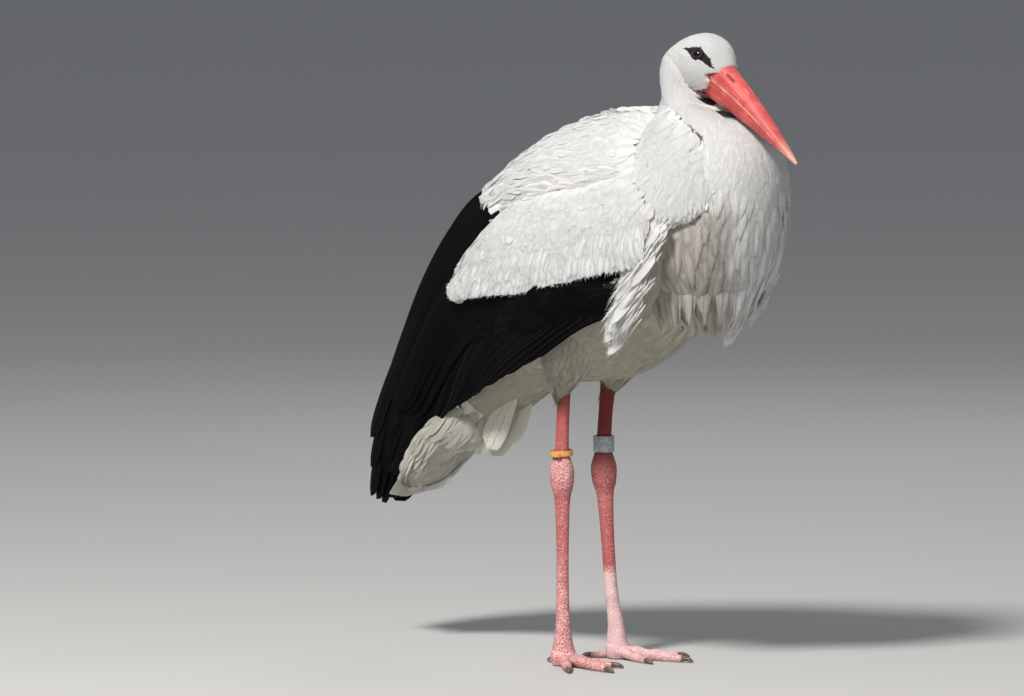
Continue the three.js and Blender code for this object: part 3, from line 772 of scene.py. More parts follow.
def lidFinish():
    paint = Finish("lid_skin")
    grain = paint.noise(paint.coordinates(), 1400, 3)
    colour = paint.blend(paint.attribute("edge"), (0.006, 0.005, 0.006), (0.085, 0.066, 0.066))
    return paint.surface(colour, 0.6, 0.12, paint.bump(grain, 0.0003, 0.6))


lid = {
    # its section, from the inner edge round to the underside: how far each point is beyond the middle of the
    # edge and over the seat, and how pale it is
    "out": [-1.0, -0.75, -0.35, 0.15, 0.7, 1.3, 1.9, 1.9, 0.8, -0.6],
    "over": [-0.5, 0.15, 0.5, 0.45, 0.15, -0.25, -1.0, -2.5, -2.5, -1.6],
    "pale": [0.1, 0.8, 0.8, 0.1, 0, 0, 0, 0, 0, 0],
    "oval": 0.10,
}


def makeEyes():
    gloss, bare = eyeFinish(), lidFinish()
    columns = 64
    turn = np.linspace(0, 2 * pi, columns, endpoint=False)
    for side, mirror in rightLeft:
        centre, axis = eyeAxis(mirror)
        first = unit(np.cross(axis, (0, 0, 1.0)))
        ring = first * np.cos(turn)[:, None] + np.cross(axis, first) * np.sin(turn)[:, None]
        # ball: rings at angle w from the axis, at centre + radius (cos w axis + sin w ring), cornea raised
        w = np.linspace(0.01, pi - 0.01, 48)
        radius = eye["radius"] * mm * (1 + 0.05 * np.exp(-((w / 0.42) ** 2)))
        ahead, aside = (radius * np.cos(w))[:, None, None], (radius * np.sin(w))[:, None, None]
        grid = centre + ahead * axis + aside * ring
        points, faces = closedTube(grid)
        away = np.where(w < pi / 2, np.sin(w), 1.0) * eye["radius"]
        away = np.concatenate([np.repeat(away, columns), [0.0, eye["radius"]]])
        ball = newMesh("eyeball_" + side, points, facingOut(points, faces), attributes={"away": away})
        addPiece(ball, gloss, ["eye_" + side])
        # lid: a rounded rim carried round the eye's axis, seated where it meets the ball
        reach = (eye["lid"] + np.array(lid["out"])) * mm
        height = (np.sqrt(eye["radius"] ** 2 - eye["lid"] ** 2) + np.array(lid["over"])) * mm
        oval = reach[:, None] * (1 + lid["oval"] * np.cos(2 * turn))
        points, faces = closedLoop(centre + oval[..., None] * ring + height[:, None, None] * axis)
        edge = np.repeat(lid["pale"], columns)
        rim = newMesh("eyelid_" + side, points, facingOut(points, faces), attributes={"edge": edge})
        addPiece(rim, bare)
    print("stage: eyes")


def closedLoop(grid):
    # a ring-shaped surface: the grid wraps round both ways
    rows, columns = grid.shape[:2]
    index = np.arange(rows * columns).reshape(rows, columns)
    right, down = np.roll(index, -1, axis=1), np.roll(index, -1, axis=0)
    both = np.roll(right, -1, axis=0)
    return grid.reshape(-1, 3), [np.stack([index, right, both, down], -1).reshape(-1, 4)]


def facingOut(points, faces):
    # the faces turned round if the volume that they close comes out negative
    volume = 0.0
    for part in faces:
        corner = points[part]
        for k in range(1, part.shape[1] - 1):
            volume += np.einsum("ij,ij->", corner[:, 0], np.cross(corner[:, k], corner[:, k + 1]))
    return faces if volume > 0 else turnedRound(faces)


leg = {
    "at": (1, -42),  # the middle of the foot
    "toeOut": 13,
    "shank": [
        # x, y, z, half depth and half width, down the leg
        (-5, 5, 318, 9.4, 7.6),
        (-8, 6, 285, 8.4, 6.6),
        (-11, 7, 250, 7.6, 5.8),
        (-13, 7, 218, 8.3, 6.6),
        (-13, 7, 209, 10.4, 8.8),
        (-12.8, 7, 197, 13.6, 11.8),
        (-12.4, 7, 182, 12.6, 10.8),
        (-11.4, 6.6, 166, 8.8, 7.4),
        (-9, 5.2, 120, 6.9, 6.0),
        (-6, 3.2, 70, 7.0, 6.2),
        (-2, 1.2, 38, 8.2, 7.8),
        (-1, 0.4, 20, 10.5, 10.6),
        (0, 0, 13, 12.5, 13.2),
        (1, 0, 6, 13.4, 13.4),
        (1, 0, 0.6, 11.6, 11.6),
    ],
    "toes": [
        # name, bearing in degrees, length without the claw, thickness
        ("inner", 30, 56, 6.6),
        ("middle", 0, 76, 7.2),
        ("outer", -31, 63, 6.8),
        ("hind", 168, 29, 5.6),
    ],
    "claw": 11,
    "dusty": {
        # heights, and how much pale dust there is at each
        "right": (
            [0, 40, 85, 130, 172, 190, 206, 216, 260, 300],
            [0.7, 0.72, 0.6, 0.3, 0.34, 0.66, 0.66, 0.24, 0.12, 0.0],
        ),
        "left": ([0, 40, 88, 98, 180, 215, 240], [0.85, 0.92, 0.92, 0.22, 0.3, 0.12, 0.0]),
    },
    "voxel": 0.0011,  # metres
    "red": (0.33, 0.042, 0.038),
    # painted shade: the body's shadow on the upper leg, which darkens the leg to this colour between the two
    # heights given for each side
    "dark": (0.12, 0.014, 0.012),  # the colour that the leg takes between the two heights of darkFrom
    "dust": (0.78, 0.62, 0.62),
    "darkFrom": {"right": (0.222, 0.31), "left": (0.15, 0.262)},  # metres up
}


def turnedAbout(points, bearing):
    turn = radians(bearing)
    x, y = points[..., 0], points[..., 1]
    return np.stack([x * cos(turn) - y * sin(turn), x * sin(turn) + y * cos(turn), points[..., 2]], -1)


def legPlace(points, mirror):
    # from the leg's own frame, with +X along the middle toe, to the bird's, in metres
    return (turnedAbout(points, -leg["toeOut"]) + (*leg["at"], 0)) * flip(mirror) * mm


def ellipses(middles, sideways, upward, columns):
    # rings at middle + cos w sideways + sin w upward, for each row of the three
    w = np.linspace(0, 2 * pi, columns, endpoint=False)[:, None]
    return middles[:, None] + np.cos(w) * sideways[:, None] + np.sin(w) * upward[:, None]


def vectors(*columns):
    # columns of numbers, or single ones, side by side
    return np.stack(np.broadcast_arrays(*columns), -1).astype(float)


def toeGrid(reach, thickness, trim):
    # Level rings of half width h(t) and half height 0.9 h(t) along the toe, where h swells at each pad:
    # thickness (1 - 0.38 t) (1 + 0.1 cos(2 pi pads t)). The middle sinks towards the tip.
    pads = 3 if reach > 40 else 2
    t = np.linspace(0, 1, 60)
    half = thickness * (1 - 0.38 * t) * (1 + 0.1 * np.cos(2 * pi * pads * t))
    middle = (9 - 4.2) * (1 - t) ** 2 + half * 0.72
    close = np.sqrt(np.clip(1 - np.clip((t - 0.92) / 0.08, 0, 1) ** 2, 0.0, 1))
    half = (half - trim) * (close * 0.96 + 0.04)
    return ellipses(vectors(reach * t, 0, middle), vectors(0, half, 0), vectors(0, 0, 0.9 * half), 28)


def webGrid(bearingA, bearingB, reach):
    # a thin fold of skin between two toes: from the hub out to a hollow edge, flat, 3.2 mm thick
    t = np.linspace(0, 1, 24)
    bearing = np.radians(bearingA + (bearingB - bearingA) * t)
    far = reach * (1 - 0.35 * np.sin(pi * t))
    half = vectors(far / 2 * np.cos(bearing), far / 2 * np.sin(bearing), 0)
    return ellipses(half + (0, 0, 4.2), half, vectors(0 * t, 0, 1.6), 24)


def legShell(trim):
    # the whole leg in its own frame as overlapping closed tubes, thinner by trim all round
    rows = np.array(leg["shank"], float) - (0, 0, 0, trim, trim)
    x, y, z, deep, wide = throughKnots(rows, np.linspace(0, 1, 220)).T
    tubes = [ellipses(vectors(x, y, z), vectors(deep, 0, 0), vectors(0, wide, 0), 40)]
    for _, bearing, reach, thickness in leg["toes"]:
        tubes.append(turnedAbout(toeGrid(reach, thickness, trim), bearing))
    if trim == 0:
        tubes += [webGrid(0, 30, 26), webGrid(-31, 0, 30)]
    return joinShells([closedTube(tube) for tube in tubes])


scales = {
    # distance from one to the next, height, and where the leg's shank and its broad plates are
    "net": 4.6, "plate": 4.4, "toePlate": 4.2, "shankHeight": 0.42, "toeHeight": 0.3, "sunk": 0.25,
    "around": 7.5, "shankRadius": 15, "shankFrom": 18, "platesTo": 190,
}


def scaleRelief(points):
    # Height of the scales, in millimetres: broad plates across the front of the shank and the top of the
    # toes, and a net of small cells elsewhere, from two crossed waves round and up the leg.
    x, y, z = points.T
    rows = np.array(leg["shank"], float)[::-1]
    cx, cy = np.interp(z, rows[:, 2], rows[:, 0]), np.interp(z, rows[:, 2], rows[:, 1])
    turn = np.arctan2(y - cy, x - cx)
    onShank = (np.hypot(x - cx, y - cy) < scales["shankRadius"]) & (z > scales["shankFrom"])
    around = turn * scales["around"]
    wave = lambda far, gap: np.sin(pi * far / gap)
    net = np.abs(wave(z + around, scales["net"]) * wave(z - around, scales["net"])) ** 0.5
    plates = np.abs(wave(z, scales["plate"])) ** 0.5
    front = np.clip(np.cos(turn) * 2.2 - 0.9, 0, 1) * (z < scales["platesTo"])
    toes = np.abs(wave(np.hypot(x, y), scales["toePlate"])) ** 0.5
    shank = net * (1 - front) + plates * front
    return np.where(onShank, shank * scales["shankHeight"], toes * scales["toeHeight"])


def legFinish(side):
    paint = Finish("leg_skin_" + side)
    relief = paint.attribute("relief")
    dusty = paint.attribute("dusty")
    place = paint.coordinates()
    _, _, z = paint.split(place)
    cloud = paint.noise(place, 60, 4, 0.6)
    fine = paint.noise(place, 900, 3, 0.6)
    edges = {"feature": "DISTANCE_TO_EDGE"}
    cells = paint.node("ShaderNodeTexVoronoi", edges, {"Vector": place, "Scale": 380})
    colour = paint.blend(cloud.rise(0.3, 0.7), leg["red"], scaledColour(leg["red"], 1.3))
    # painted shade: the upper leg darkens where the body shades it
    colour = paint.blend(z.rise(*leg["darkFrom"][side]) * 0.85, colour, leg["dark"])
    net = cells.rise(0.16, 0.03).most(relief.rise(0.55, 0.1))
    powder = (dusty * (0.5 + 1.0 * cloud)).least(1.0) * (0.16 + 0.84 * net)
    powder = powder.most(dusty.rise(0.7, 1.0) * (0.62 + 0.38 * cloud.rise(0.35, 0.6)))
    powder = powder * (0.7 + 0.3 * fine.rise(0.3, 0.6))
    colour = paint.blend(powder, colour, leg["dust"])
    grain = paint.bump(cells.least(0.2) * 3 + fine * 0.2, 0.0005, 0.6)
    return paint.surface(colour, 0.55 + 0.2 * powder, 0.3, grain)


def makeLegs():
    for side, mirror in rightLeft:
        points, faces = legShell(0)
        points, faces = fused(points * mm, faces, leg["voxel"], 3)
        own = points / mm
        relief = scaleRelief(own)
        mesh = newMesh("probe", points, faces)
        normal = readOut(mesh.vertex_normals, "vector", 3, np.float32).reshape(-1, 3)
        bpy.data.meshes.remove(mesh)
        own = own + normal * (relief - scales["sunk"])[:, None]
        own[:, 2] = np.maximum(own[:, 2], 0.0)
        # dust: in patches on the right leg, and thick on the lower half of the left one
        marks = {"relief": relief / scales["shankHeight"], "dusty": np.interp(own[:, 2], *leg["dusty"][side])}
        faces = turnedRound(faces) if mirror else faces
        mesh = newMesh("leg_scales_" + side, legPlace(own, mirror), faces, attributes=marks)
        addPiece(mesh, legFinish(side), [f"tibia_{side}", f"tarsus_{side}", f"foot_{side}"])
    print("stage: legs")


def clawGrid(reach, thickness):
    # a horn that narrows and bends down: ellipses along a short path, closed to a blunt point
    base = thickness * 0.62 * 0.72
    long = leg["claw"]
    rows = [
        # x, z, half width and half height
        (reach - 5, base + 0.6, 3.2, 2.7),
        (reach + 0.35 * long, base + 0.7, 2.9, 2.4),
        (reach + 0.75 * long, base - 0.4, 2.1, 1.7),
        (reach + long, 1.5, 0.7, 0.6),
    ]
    x, z, wide, high = throughKnots(rows, np.linspace(0, 1, 24)).T
    return ellipses(vectors(x, 0, z), vectors(0, wide, 0), vectors(0, 0, high), 20)


def makeClaws():
    paint = Finish("claw_horn")
    grain = paint.noise(paint.coordinates((90, 90, 900)), 1, 4)
    cloud = paint.noise(paint.coordinates(), 300, 3)
    colour = paint.blend(cloud, (0.045, 0.030, 0.024), (0.16, 0.11, 0.085))
    colour = paint.blend(grain.rise(0.55, 0.75) * 0.5, colour, (0.34, 0.27, 0.22))
    horn = paint.surface(colour, 0.42, 0.5, paint.bump(grain, 0.0004, 0.5))
    for side, mirror in rightLeft:
        for name, bearing, reach, thickness in leg["toes"]:
            points, faces = closedTube(legPlace(turnedAbout(clawGrid(reach, thickness), bearing), mirror))
            mesh = newMesh(f"nail_{name}_{side}", points, facingOut(points, faces))
            addPiece(mesh, horn, [f"claw_{name}_{side}"])
    print("stage: claws")


rings = {
    "at": (-12.8, 7, 212.5),  # in the leg's frame
    "metal": {"radius": 9.9, "wall": 0.9, "height": 16.5, "round": 0.35, "joint": 3.6},
    "yellow": {
        "radius": 10.2, "wall": 0.8, "height": 5.6, "round": 0.3, "start": -100, "overlap": 55, "tilt": 4
    },
}


def roundedProfile(ring):
    # a rectangle of that wall and height with round corners: how far each point is out, and how far up
    w = np.linspace(0, pi / 2, 5)
    wall, height, corner = ring["wall"], ring["height"], ring["round"]
    arc = np.stack([np.cos(w), np.sin(w)], -1) * corner
    turned = []
    for quarter, (top, inner) in enumerate(((1, 0), (1, 1), (0, 1), (0, 0))):
        angle = quarter * pi / 2
        spin = np.array([[cos(angle), sin(angle)], [-sin(angle), cos(angle)]])
        turned.append(arc @ spin + (corner if inner else wall - corner, height - corner if top else corner))
    return np.vstack(turned).T


def aboutAxis(out, turn, up):
    return vectors(out * np.cos(turn), out * np.sin(turn), up)


def metalRing():
    # a closed band with a fine butt joint: the profile carried round a circle
    metal = rings["metal"]
    out, up = roundedProfile(metal)[..., None]
    w = np.linspace(0, 2 * pi, 120, endpoint=False)
    joint = np.exp(-(((w - metal["joint"]) / 0.03) ** 2)) * (out > metal["wall"] / 2)
    paint = Finish("ring_metal")
    brushed = paint.noise(paint.coordinates((120, 120, 2600)), 1, 3)
    wear = paint.noise(paint.coordinates(), 260, 4, 0.65)
    colour = paint.blend(wear.rise(0.35, 0.7), (0.34, 0.36, 0.39), (0.55, 0.57, 0.60))
    dulled = {"Metallic": 0.85 - 0.3 * wear.rise(0.5, 0.8)}
    alloy = paint.surface(colour, 0.38 + 0.25 * wear, 0.5, paint.bump(brushed, 0.0002, 0.35), dulled)
    grid = aboutAxis(metal["radius"] + out - 0.45 * joint, w, up)
    return closedLoop(legPlace(grid + rings["at"], True)), alloy


def yellowRing():
    # a springy strip: the radius grows by more than its wall a turn, and its last end stands off the leg
    yellow = rings["yellow"]
    out, up = roundedProfile(yellow)
    t = np.linspace(0, 1, 150)[:, None]
    turn = np.radians(yellow["start"] + (360 + yellow["overlap"]) * t)
    lifted = yellow["radius"] + (yellow["wall"] + 0.5) * t + 27.5 * np.maximum(0, t - 0.92) * t
    grid = aboutAxis(lifted + out, turn, up)
    tilt = radians(yellow["tilt"])
    y, z = grid[..., 1].copy(), grid[..., 2].copy()
    grid[..., 1] = y * cos(tilt) - z * sin(tilt)
    grid[..., 2] = y * sin(tilt) + z * cos(tilt)
    paint = Finish("ring_yellow")
    stain = paint.noise(paint.coordinates(), 240, 4, 0.6)
    colour = paint.blend(stain.rise(0.3, 0.75), (0.70, 0.36, 0.10), (0.50, 0.22, 0.06))
    plastic = paint.surface(colour, 0.42 + 0.2 * stain, 0.5, paint.bump(stain, 0.0003, 0.4))
    return closedTube(legPlace(grid + rings["at"], False)), plastic


def makeRings():
    for side, slot, make in (("left", "ring_metal", metalRing), ("right", "ring_yellow", yellowRing)):
        (points, faces), finish = make()
        addPiece(newMesh("band_" + side, points, facingOut(points, faces)), finish, ["ring_" + side])
    print("stage: leg rings")


skin = {
    "voxel": 0.0032,  # metres
    "smooth": 6,
    # how far each form is moved in, in millimetres; the head has a shell of its own outside this one
    "depth": {
        "trunk": 5, "neck": 5, "nape": 2.5, "head": 13, "tail": 4, "wing": 5.5, "flight": 3.5, "thigh": 4
    },
    "legDepth": 0.6,
    "headDepth": (1.0, 2.6),  # from the face to the nape
    "maskDepth": 0.15,
    "headRows": 170,
    "headColumns": 150,
    "blackBehind": 0.137,  # x in metres; ahead of it only the slot under the bill is black
    "bedMiddle": (98, 0, 4),  # in the head's frame; the bed is made within bedReach of it
    "bedReach": 0.12,  # metres
    "white": (0.70, 0.66, 0.60),
    "black": (0.004, 0.004, 0.005),
    "gape": (0.66, 0.07, 0.07),
}


gape = {
    # x of the feathers' front edge at heights z
    "edge": [
        (-30, 4), (-16, 17), (-8.5, 29.5), (-2.5, 36.2), (1, 37.5), (6, 37), (9, 34), (11.5, 31.5),
        (15, 34.5), (20, 41), (23, 43), (28, 42.5), (40, 40)
    ],
    "strip": [(8, -22), (20, -18), (30, -14.5), (50, -11)],  # x and z along the red skin below the cheek
    "half": 2.2,
    "recess": 7,  # how far the skin steps in before the feathers' edge, so that the bill lies in it
}


def aheadShare(points):
    # 1 in front of the edge of the feathers of the face, where the bill lies
    own = headInverse(points)
    edge = np.array(gape["edge"], float)
    return np.clip(0.5 + (own[..., 0] - np.interp(own[..., 2], edge[:, 0], edge[:, 1])), 0, 1)


def stripShare(points):
    # 1 on the red strip of skin behind the corner of the mouth
    own = headInverse(points)
    strip = np.array(gape["strip"], float)
    away = np.abs(own[..., 2] - np.interp(own[..., 0], strip[:, 0], strip[:, 1])) - gape["half"]
    return np.clip(0.5 - away, 0, 1) * (own[..., 0] > strip[0, 0])


def slotBlackAndShadeShare(points):
    # 1 on the skin under the root of the bill, painted black for its bare black skin and for the shade there
    own = headInverse(points)
    return aheadShare(points) * np.clip((-8 - own[..., 2]) / 1.5, 0, 1) * (1 - stripShare(points))


def headShell():
    # the head's surface moved in by the coat's depth, which grows from the face to the nape and is small on
    # the black skin round the eye
    u = (1 - np.cos(pi * np.linspace(0.004, 0.996, skin["headRows"]))) / 2
    v = np.linspace(0, 2 * pi, skin["headColumns"], endpoint=False)
    u, v = np.meshgrid(u, v, indexing="ij")
    points, _, _, normal = headLoft.frame(u, v)
    bare = maskShare(points)
    depth = np.interp(u, [0, 1], skin["headDepth"][::-1]) * (1 - bare) + skin["maskDepth"] * bare
    depth = depth + gape["recess"] * aheadShare(points) * (1 - stripShare(points))
    return closedTube(points - normal * depth[..., None] * mm)


def bodyShell():
    # one surface round the body's forms, pushed aside to make the bill's bed, and which of its points are
    #  black: those by the flight feathers, and those in the slot under the bill, which are painted shade
    depth = skin["depth"]
    forms = [
        (trunkLoft.inset(depth["trunk"]), 60, 64),
        (neckLoft.inset(depth["neck"]), 48, 56),
        (napeLoft.inset(depth["nape"]), 24, 40),
        (headLoft.inset(depth["head"]), 30, 40),
        (tailLoft.inset(depth["tail"]), 24, 40),
    ]
    for k in (0, 1):
        forms += [(lofts[k].inset(depth["wing"]), 40, 48) for lofts in (shoulderLofts, scapularLofts)]
        forms.append((covertLofts[k].inset(depth["wing"]), 44, 48))
        forms.append((flightLofts[k].inset(depth["flight"]), 60, 40))
        forms.append((thighLofts[k].inset(depth["thigh"]), 24, 36))
    shells = [closedTube(loft.grid(rows, columns)) for loft, rows, columns in forms]
    points, faces = fused(*joinShells(shells), skin["voxel"], skin["smooth"])
    whites = [trunkLoft, neckLoft, tailLoft, *shoulderLofts, *scapularLofts, *covertLofts, *thighLofts]
    samples = [loft.grid(90, 60).reshape(-1, 3) for loft in flightLofts]
    samples += [loft.grid(60, 60).reshape(-1, 3) for loft in whites]
    black = nearestGroup(points, samples) < len(flightLofts)
    black &= points[:, 0] <= skin["blackBehind"]
    middle = headPlace(np.array(skin["bedMiddle"], float)) * mm
    near = np.flatnonzero(np.linalg.norm(points - middle, axis=1) < skin["bedReach"])
    near = near[~headLoft.holds(points[near])]
    # skin in the slot under the bill is painted black, as shade in the gap below the bill
    black[near[inSlot(points[near])]] = True
    points[near] = bedded(points[near])
    return (points, faces), black


def skinFinish():
    paint = Finish("skin")
    down = paint.noise(paint.coordinates((1, 1, 0.6)), 420, 4, 0.6)
    place = paint.coordinates()
    x, y, z = paint.split(place)
    mouth = paint.attribute("mouth")
    cloud = paint.noise(place, 30, 3)
    colour = paint.blend(cloud, scaledColour(skin["white"], 0.95), scaledColour(skin["white"], 1.05))
    colour = paint.blend(paint.attribute("marking"), colour, skin["black"])
    # the slot under the bill painted black, for its bare black skin and as painted shade
    colour = paint.blend(slotBlackAndShadeMark(x, y, z) * (1 - mouth), colour, skin["black"])
    # painted shade along the groove between the neck and the shoulder
    colour = paint.blend(creaseShadeMark(x, y, z), colour, creaseShade["colour"])
    colour = paint.blend(mouth, colour, skin["gape"])
    colour = paint.blend(paint.attribute("bare"), colour, leg["red"])
    return paint.surface(colour, 0.75, 0.25, paint.bump(down, 0.0012, 0.6))


def makeSkin():
    body, black = bodyShell()
    face = headShell()
    legs = []
    for _, mirror in rightLeft:
        own, faces = legShell(skin["legDepth"])
        own[:, 2] = np.clip(own[:, 2], 0.5, 300)
        legs.append((legPlace(own, mirror), turnedRound(faces) if mirror else faces))
    points, faces = joinShells([body, face, *legs])
    # the skin under the bill's root is black, for its bare black skin and as painted shade; the mask round
    # the eye is its real black
    dark = slotBlackAndShadeShare(face[0])
    below = np.zeros(len(points) - len(black) - len(dark))
    marking = np.maximum(maskShare(face[0]), dark)
    mouth = np.maximum(aheadShare(face[0]), stripShare(face[0])) * (1 - dark)
    marks = {
        "marking": np.concatenate([black, marking, below]),
        "mouth": np.concatenate([0 * black, mouth, below]),
        "bare": np.concatenate([0 * black, 0 * mouth, below + 1]),
    }
    names = ["trunk", "neck", "head", "tail"]
    for side, _ in rightLeft:
        names += [f"{part}_{side}" for part in ("scapulars", "wing_coverts", "wing_flight", "thigh")]
    addPiece(newMesh("skin", points, faces, attributes=marks), skinFinish(), names)
    print("stage: skin,", len(points), "points")


def rootsInRows(loft, spec, rng):
    # Staggered rows of roots: u steps by rowGap along the surface, and v by columnGap round each section.
    # Both gaps are read along the coat at knots of u. Each root is then nudged by a share of the gaps.
    fine = np.linspace(*spec["u"], 240)
    points = loft.point(fine, np.full(240, np.mean(spec["v"])))
    gap = np.interp((fine[1:] + fine[:-1]) / 2, spec["knots"], spec["rowGap"]) * mm
    count = np.concatenate([[0], np.cumsum(np.linalg.norm(np.diff(points, axis=0), axis=1) / gap)])
    rows = np.interp(np.arange(0.5, count[-1]), count, fine)
    allU, allV = [], []
    for i, u in enumerate(rows):
        v = np.linspace(*spec["v"], 200)
        along = alongPath(loft.point(np.full(200, u), v))
        wide = np.interp(u, spec["knots"], spec["columnGap"]) * mm
        number = max(int(along[-1] / wide), 1)
        at = (np.arange(number) + 0.25 + 0.5 * (i % 2)) / number * along[-1]
        at = at + rng.normal(0, 0.16 * wide, number)
        allV.append(np.interp(at, along, v))
        allU.append(u + rng.normal(0, 1, number) * spec["scatter"] * abs(rows[-1] - rows[0]) / len(rows))
    return np.clip(np.concatenate(allU), 0.001, 0.999), np.concatenate(allV)


def walk(loft, u, v, flow, heading, length, count, bounds=(0.0, 1.0)):
    # Points laid along the surface from (u, v). Each step goes the same distance along a direction between
    # the surface's own u slope (times flow) and v slope, turned by heading. Past the bounds it goes straight.
    step = (length / (count - 1))[:, None]
    ahead, aside = np.cos(heading)[:, None], np.sin(heading)[:, None]
    spot, alongU, alongV, normal = loft.frame(u, v)
    lines, normals = [], []
    gone = np.zeros(len(u), bool)
    direction = None
    for _ in range(count):
        first = unit(alongU) * flow
        lean = (alongV * first).sum(-1, keepdims=True)
        sideways = alongV - lean * first
        broad = np.maximum(np.linalg.norm(sideways, axis=-1, keepdims=True), 0.004)
        fresh = ahead * first + aside * unit(sideways)
        direction = fresh if direction is None else np.where(gone[:, None], direction, fresh)
        lines.append(spot)
        normals.append(normal)
        changeV = aside / broad
        changeU = flow * (ahead - changeV * lean) / np.linalg.norm(alongU, axis=-1, keepdims=True)
        nextU, nextV = u + (changeU * step)[:, 0], v + (changeV * step)[:, 0]
        gone = gone | (nextU < bounds[0]) | (nextU > bounds[1])
        u, v = np.where(gone, u, nextU), np.where(gone, v, nextV)
        points, alongU, alongV, fresh = loft.frame(u, v)
        spot = np.where(gone[:, None], spot + direction * step, points)
        normal = np.where(gone[:, None], normal, fresh)
    return np.stack(lines, 1), np.stack(normals, 1), u, v


def leftAlong(loft, u, v, flow):
    # how far it is from (u, v) along the surface to the loft's end, measured in twenty steps
    end = 0.98 if flow > 0 else 0.02
    steps = u[:, None] + (end - u)[:, None] * np.linspace(0, 1, 20)
    points = loft.point(steps, v[:, None] + 0 * steps)
    return np.linalg.norm(np.diff(points, axis=1), axis=-1).sum(1)


def vaneFaces(rings):
    # faces of one vane: a pole at its root, rings of four (left, top, right, bottom), and a pole at its tip
    triangles, quads = [], []
    tip = 1 + 4 * rings
    for j in range(4):
        k = (j + 1) % 4
        triangles.append((0, 1 + k, 1 + j))
        triangles.append((tip, tip - 4 + j, tip - 4 + k))
        for i in range(rings - 1):
            a = 1 + 4 * i
            quads.append((a + j, a + k, a + 4 + k, a + 4 + j))
    return np.array(triangles), np.array(quads).reshape(-1, 4)


class Coat:
    # Vanes gathered into one mesh. Each is a closed thin form along a line, with a pole at root and tip.
    def __init__(self, name):
        self.name = name
        self.parts = []

    def add(self, lines, normals, halfWidths, thick, camber, roots, tone):
        # n lines of m points, in metres, and a half width at each point; the edges sink by camber times it
        n, m = lines.shape[:2]
        tangent = unit(np.gradient(lines, axis=1))
        side = unit(np.cross(normals, tangent))
        up = np.cross(tangent, side)
        wide = halfWidths[..., None]
        sink = camber * wide * up
        deep = (thick * np.minimum(1, halfWidths / halfWidths.max(1, keepdims=True) + 0.3))[..., None] * up
        left, right = side * wide - sink, -side * wide - sink
        ring = lines[:, :, None] + np.stack([left, deep, right, -deep - sink * 0.5], 2)
        ring = ring[:, 1:-1].reshape(n, -1, 3)
        points = np.concatenate([lines[:, :1], ring, lines[:, -1:]], 1)
        per = points.shape[1]
        shift = (np.arange(n) * per)[:, None, None]
        triangles, quads = (part[None] + shift for part in vaneFaces(m - 2))
        along = np.concatenate([[0], np.repeat(np.linspace(0, 1, m)[1:-1], 4), [1]])
        # how far across the vane each point is, and 1 on its rim
        aside = np.concatenate([[0.5], np.tile([0, 0.5, 1, 0.5], m - 2), [0.5]])
        rim = np.concatenate([[1], np.tile([1, 0, 1, 0], m - 2), [1]])
        vane = np.broadcast_to(np.stack([along, aside], -1), (n, per, 2))
        self.parts.append(
            {
                "points": points.reshape(-1, 3),
                "triangles": triangles.reshape(-1, 3),
                "quads": quads.reshape(-1, 4),
                "OFBake": (roots[:, None, :] + 0.003 * (vane - 0.5)).reshape(-1, 2),
                "vane": vane.reshape(-1, 2),
                "tone": np.repeat(tone, per),
                "rim": np.tile(rim, n),
            }
        )

    def build(self, material):
        shift = np.cumsum([0] + [len(part["points"]) for part in self.parts])
        faces = [
            np.concatenate([part[key] + shift[i] for i, part in enumerate(self.parts)])
            for key in ("triangles", "quads")
        ]
        gather = lambda key: np.concatenate([part[key] for part in self.parts])
        uvs = {key: gather(key) for key in ("OFBake", "vane")}
        mesh = newMesh(self.name, gather("points"), faces, uvs, {"tone": gather("tone")})
        # the rim of each vane is sharp, so that its upper face is shaded flat and not as a pillow
        ends = readOut(mesh.edges, "vertices", 2, np.int32)
        sharp = gather("rim")[ends].reshape(-1, 2).all(1)
        mesh.attributes.new("sharp_edge", "BOOLEAN", "EDGE").data.foreach_set("value", sharp)
        print("   ", self.name, len(faces[0]) + 2 * len(faces[1]), "triangles")
        addPiece(mesh, material)


def profile(kind, m):
    # half width along a vane, as shares of its widest
    s = np.linspace(0, 1, m)
    if kind == "round":
        # a body feather is broad to its end
        opening = np.sin(pi * np.clip(s * 0.62, 0, 0.5))
        return 0.18 + 0.82 * opening * np.sqrt(np.clip(1 - (s / 1.001) ** 7, 0, 1))
    if kind == "quill":
        # a quill opens fast, keeps its width and rounds off at the tip
        end = np.clip((s - 0.84) / 0.165, 0, 1)
        return np.maximum(np.clip(s / 0.12, 0, 1) ** 0.6 * np.sqrt(np.clip(1 - end**2, 0, 1)), 0.02)
    if kind == "lance":
        return 0.2 + 0.8 * np.sin(pi * s**0.8) ** 0.8 * (1 - 0.25 * s)
    return 0.25 + 0.75 * np.sin(pi * s**0.7) ** 0.7


def bakePlace(u, turn):
    # where a feather's root lies in the coat's own map, which leaves a margin all round
    return 0.02 + 0.96 * np.stack([u, turn], -1)


def rolled(lines, normals, spec, rng):
    # the normals turned a little about each line, at random
    roll = rng.normal(0, radians(spec["roll"]), len(lines))[:, None, None]
    side = np.cross(normals, unit(np.gradient(lines, axis=1)))
    return unit(normals * np.cos(roll) + side * np.sin(roll))


def addVanes(coat, spec, rng, lines, normals, wide, roots):
    # one set of vanes, each as wide as given at its widest, and their loose barbs
    halfWidths = wide[:, None] * profile(spec["kind"], spec["stations"])
    tone = rng.uniform(0, 1, len(lines))
    coat.add(lines, normals, halfWidths, spec["thick"] * mm, spec["camber"], roots, tone)
    if spec["barbs"]:
        addBarbs(coat, spec, rng, lines, normals, halfWidths, roots, tone)


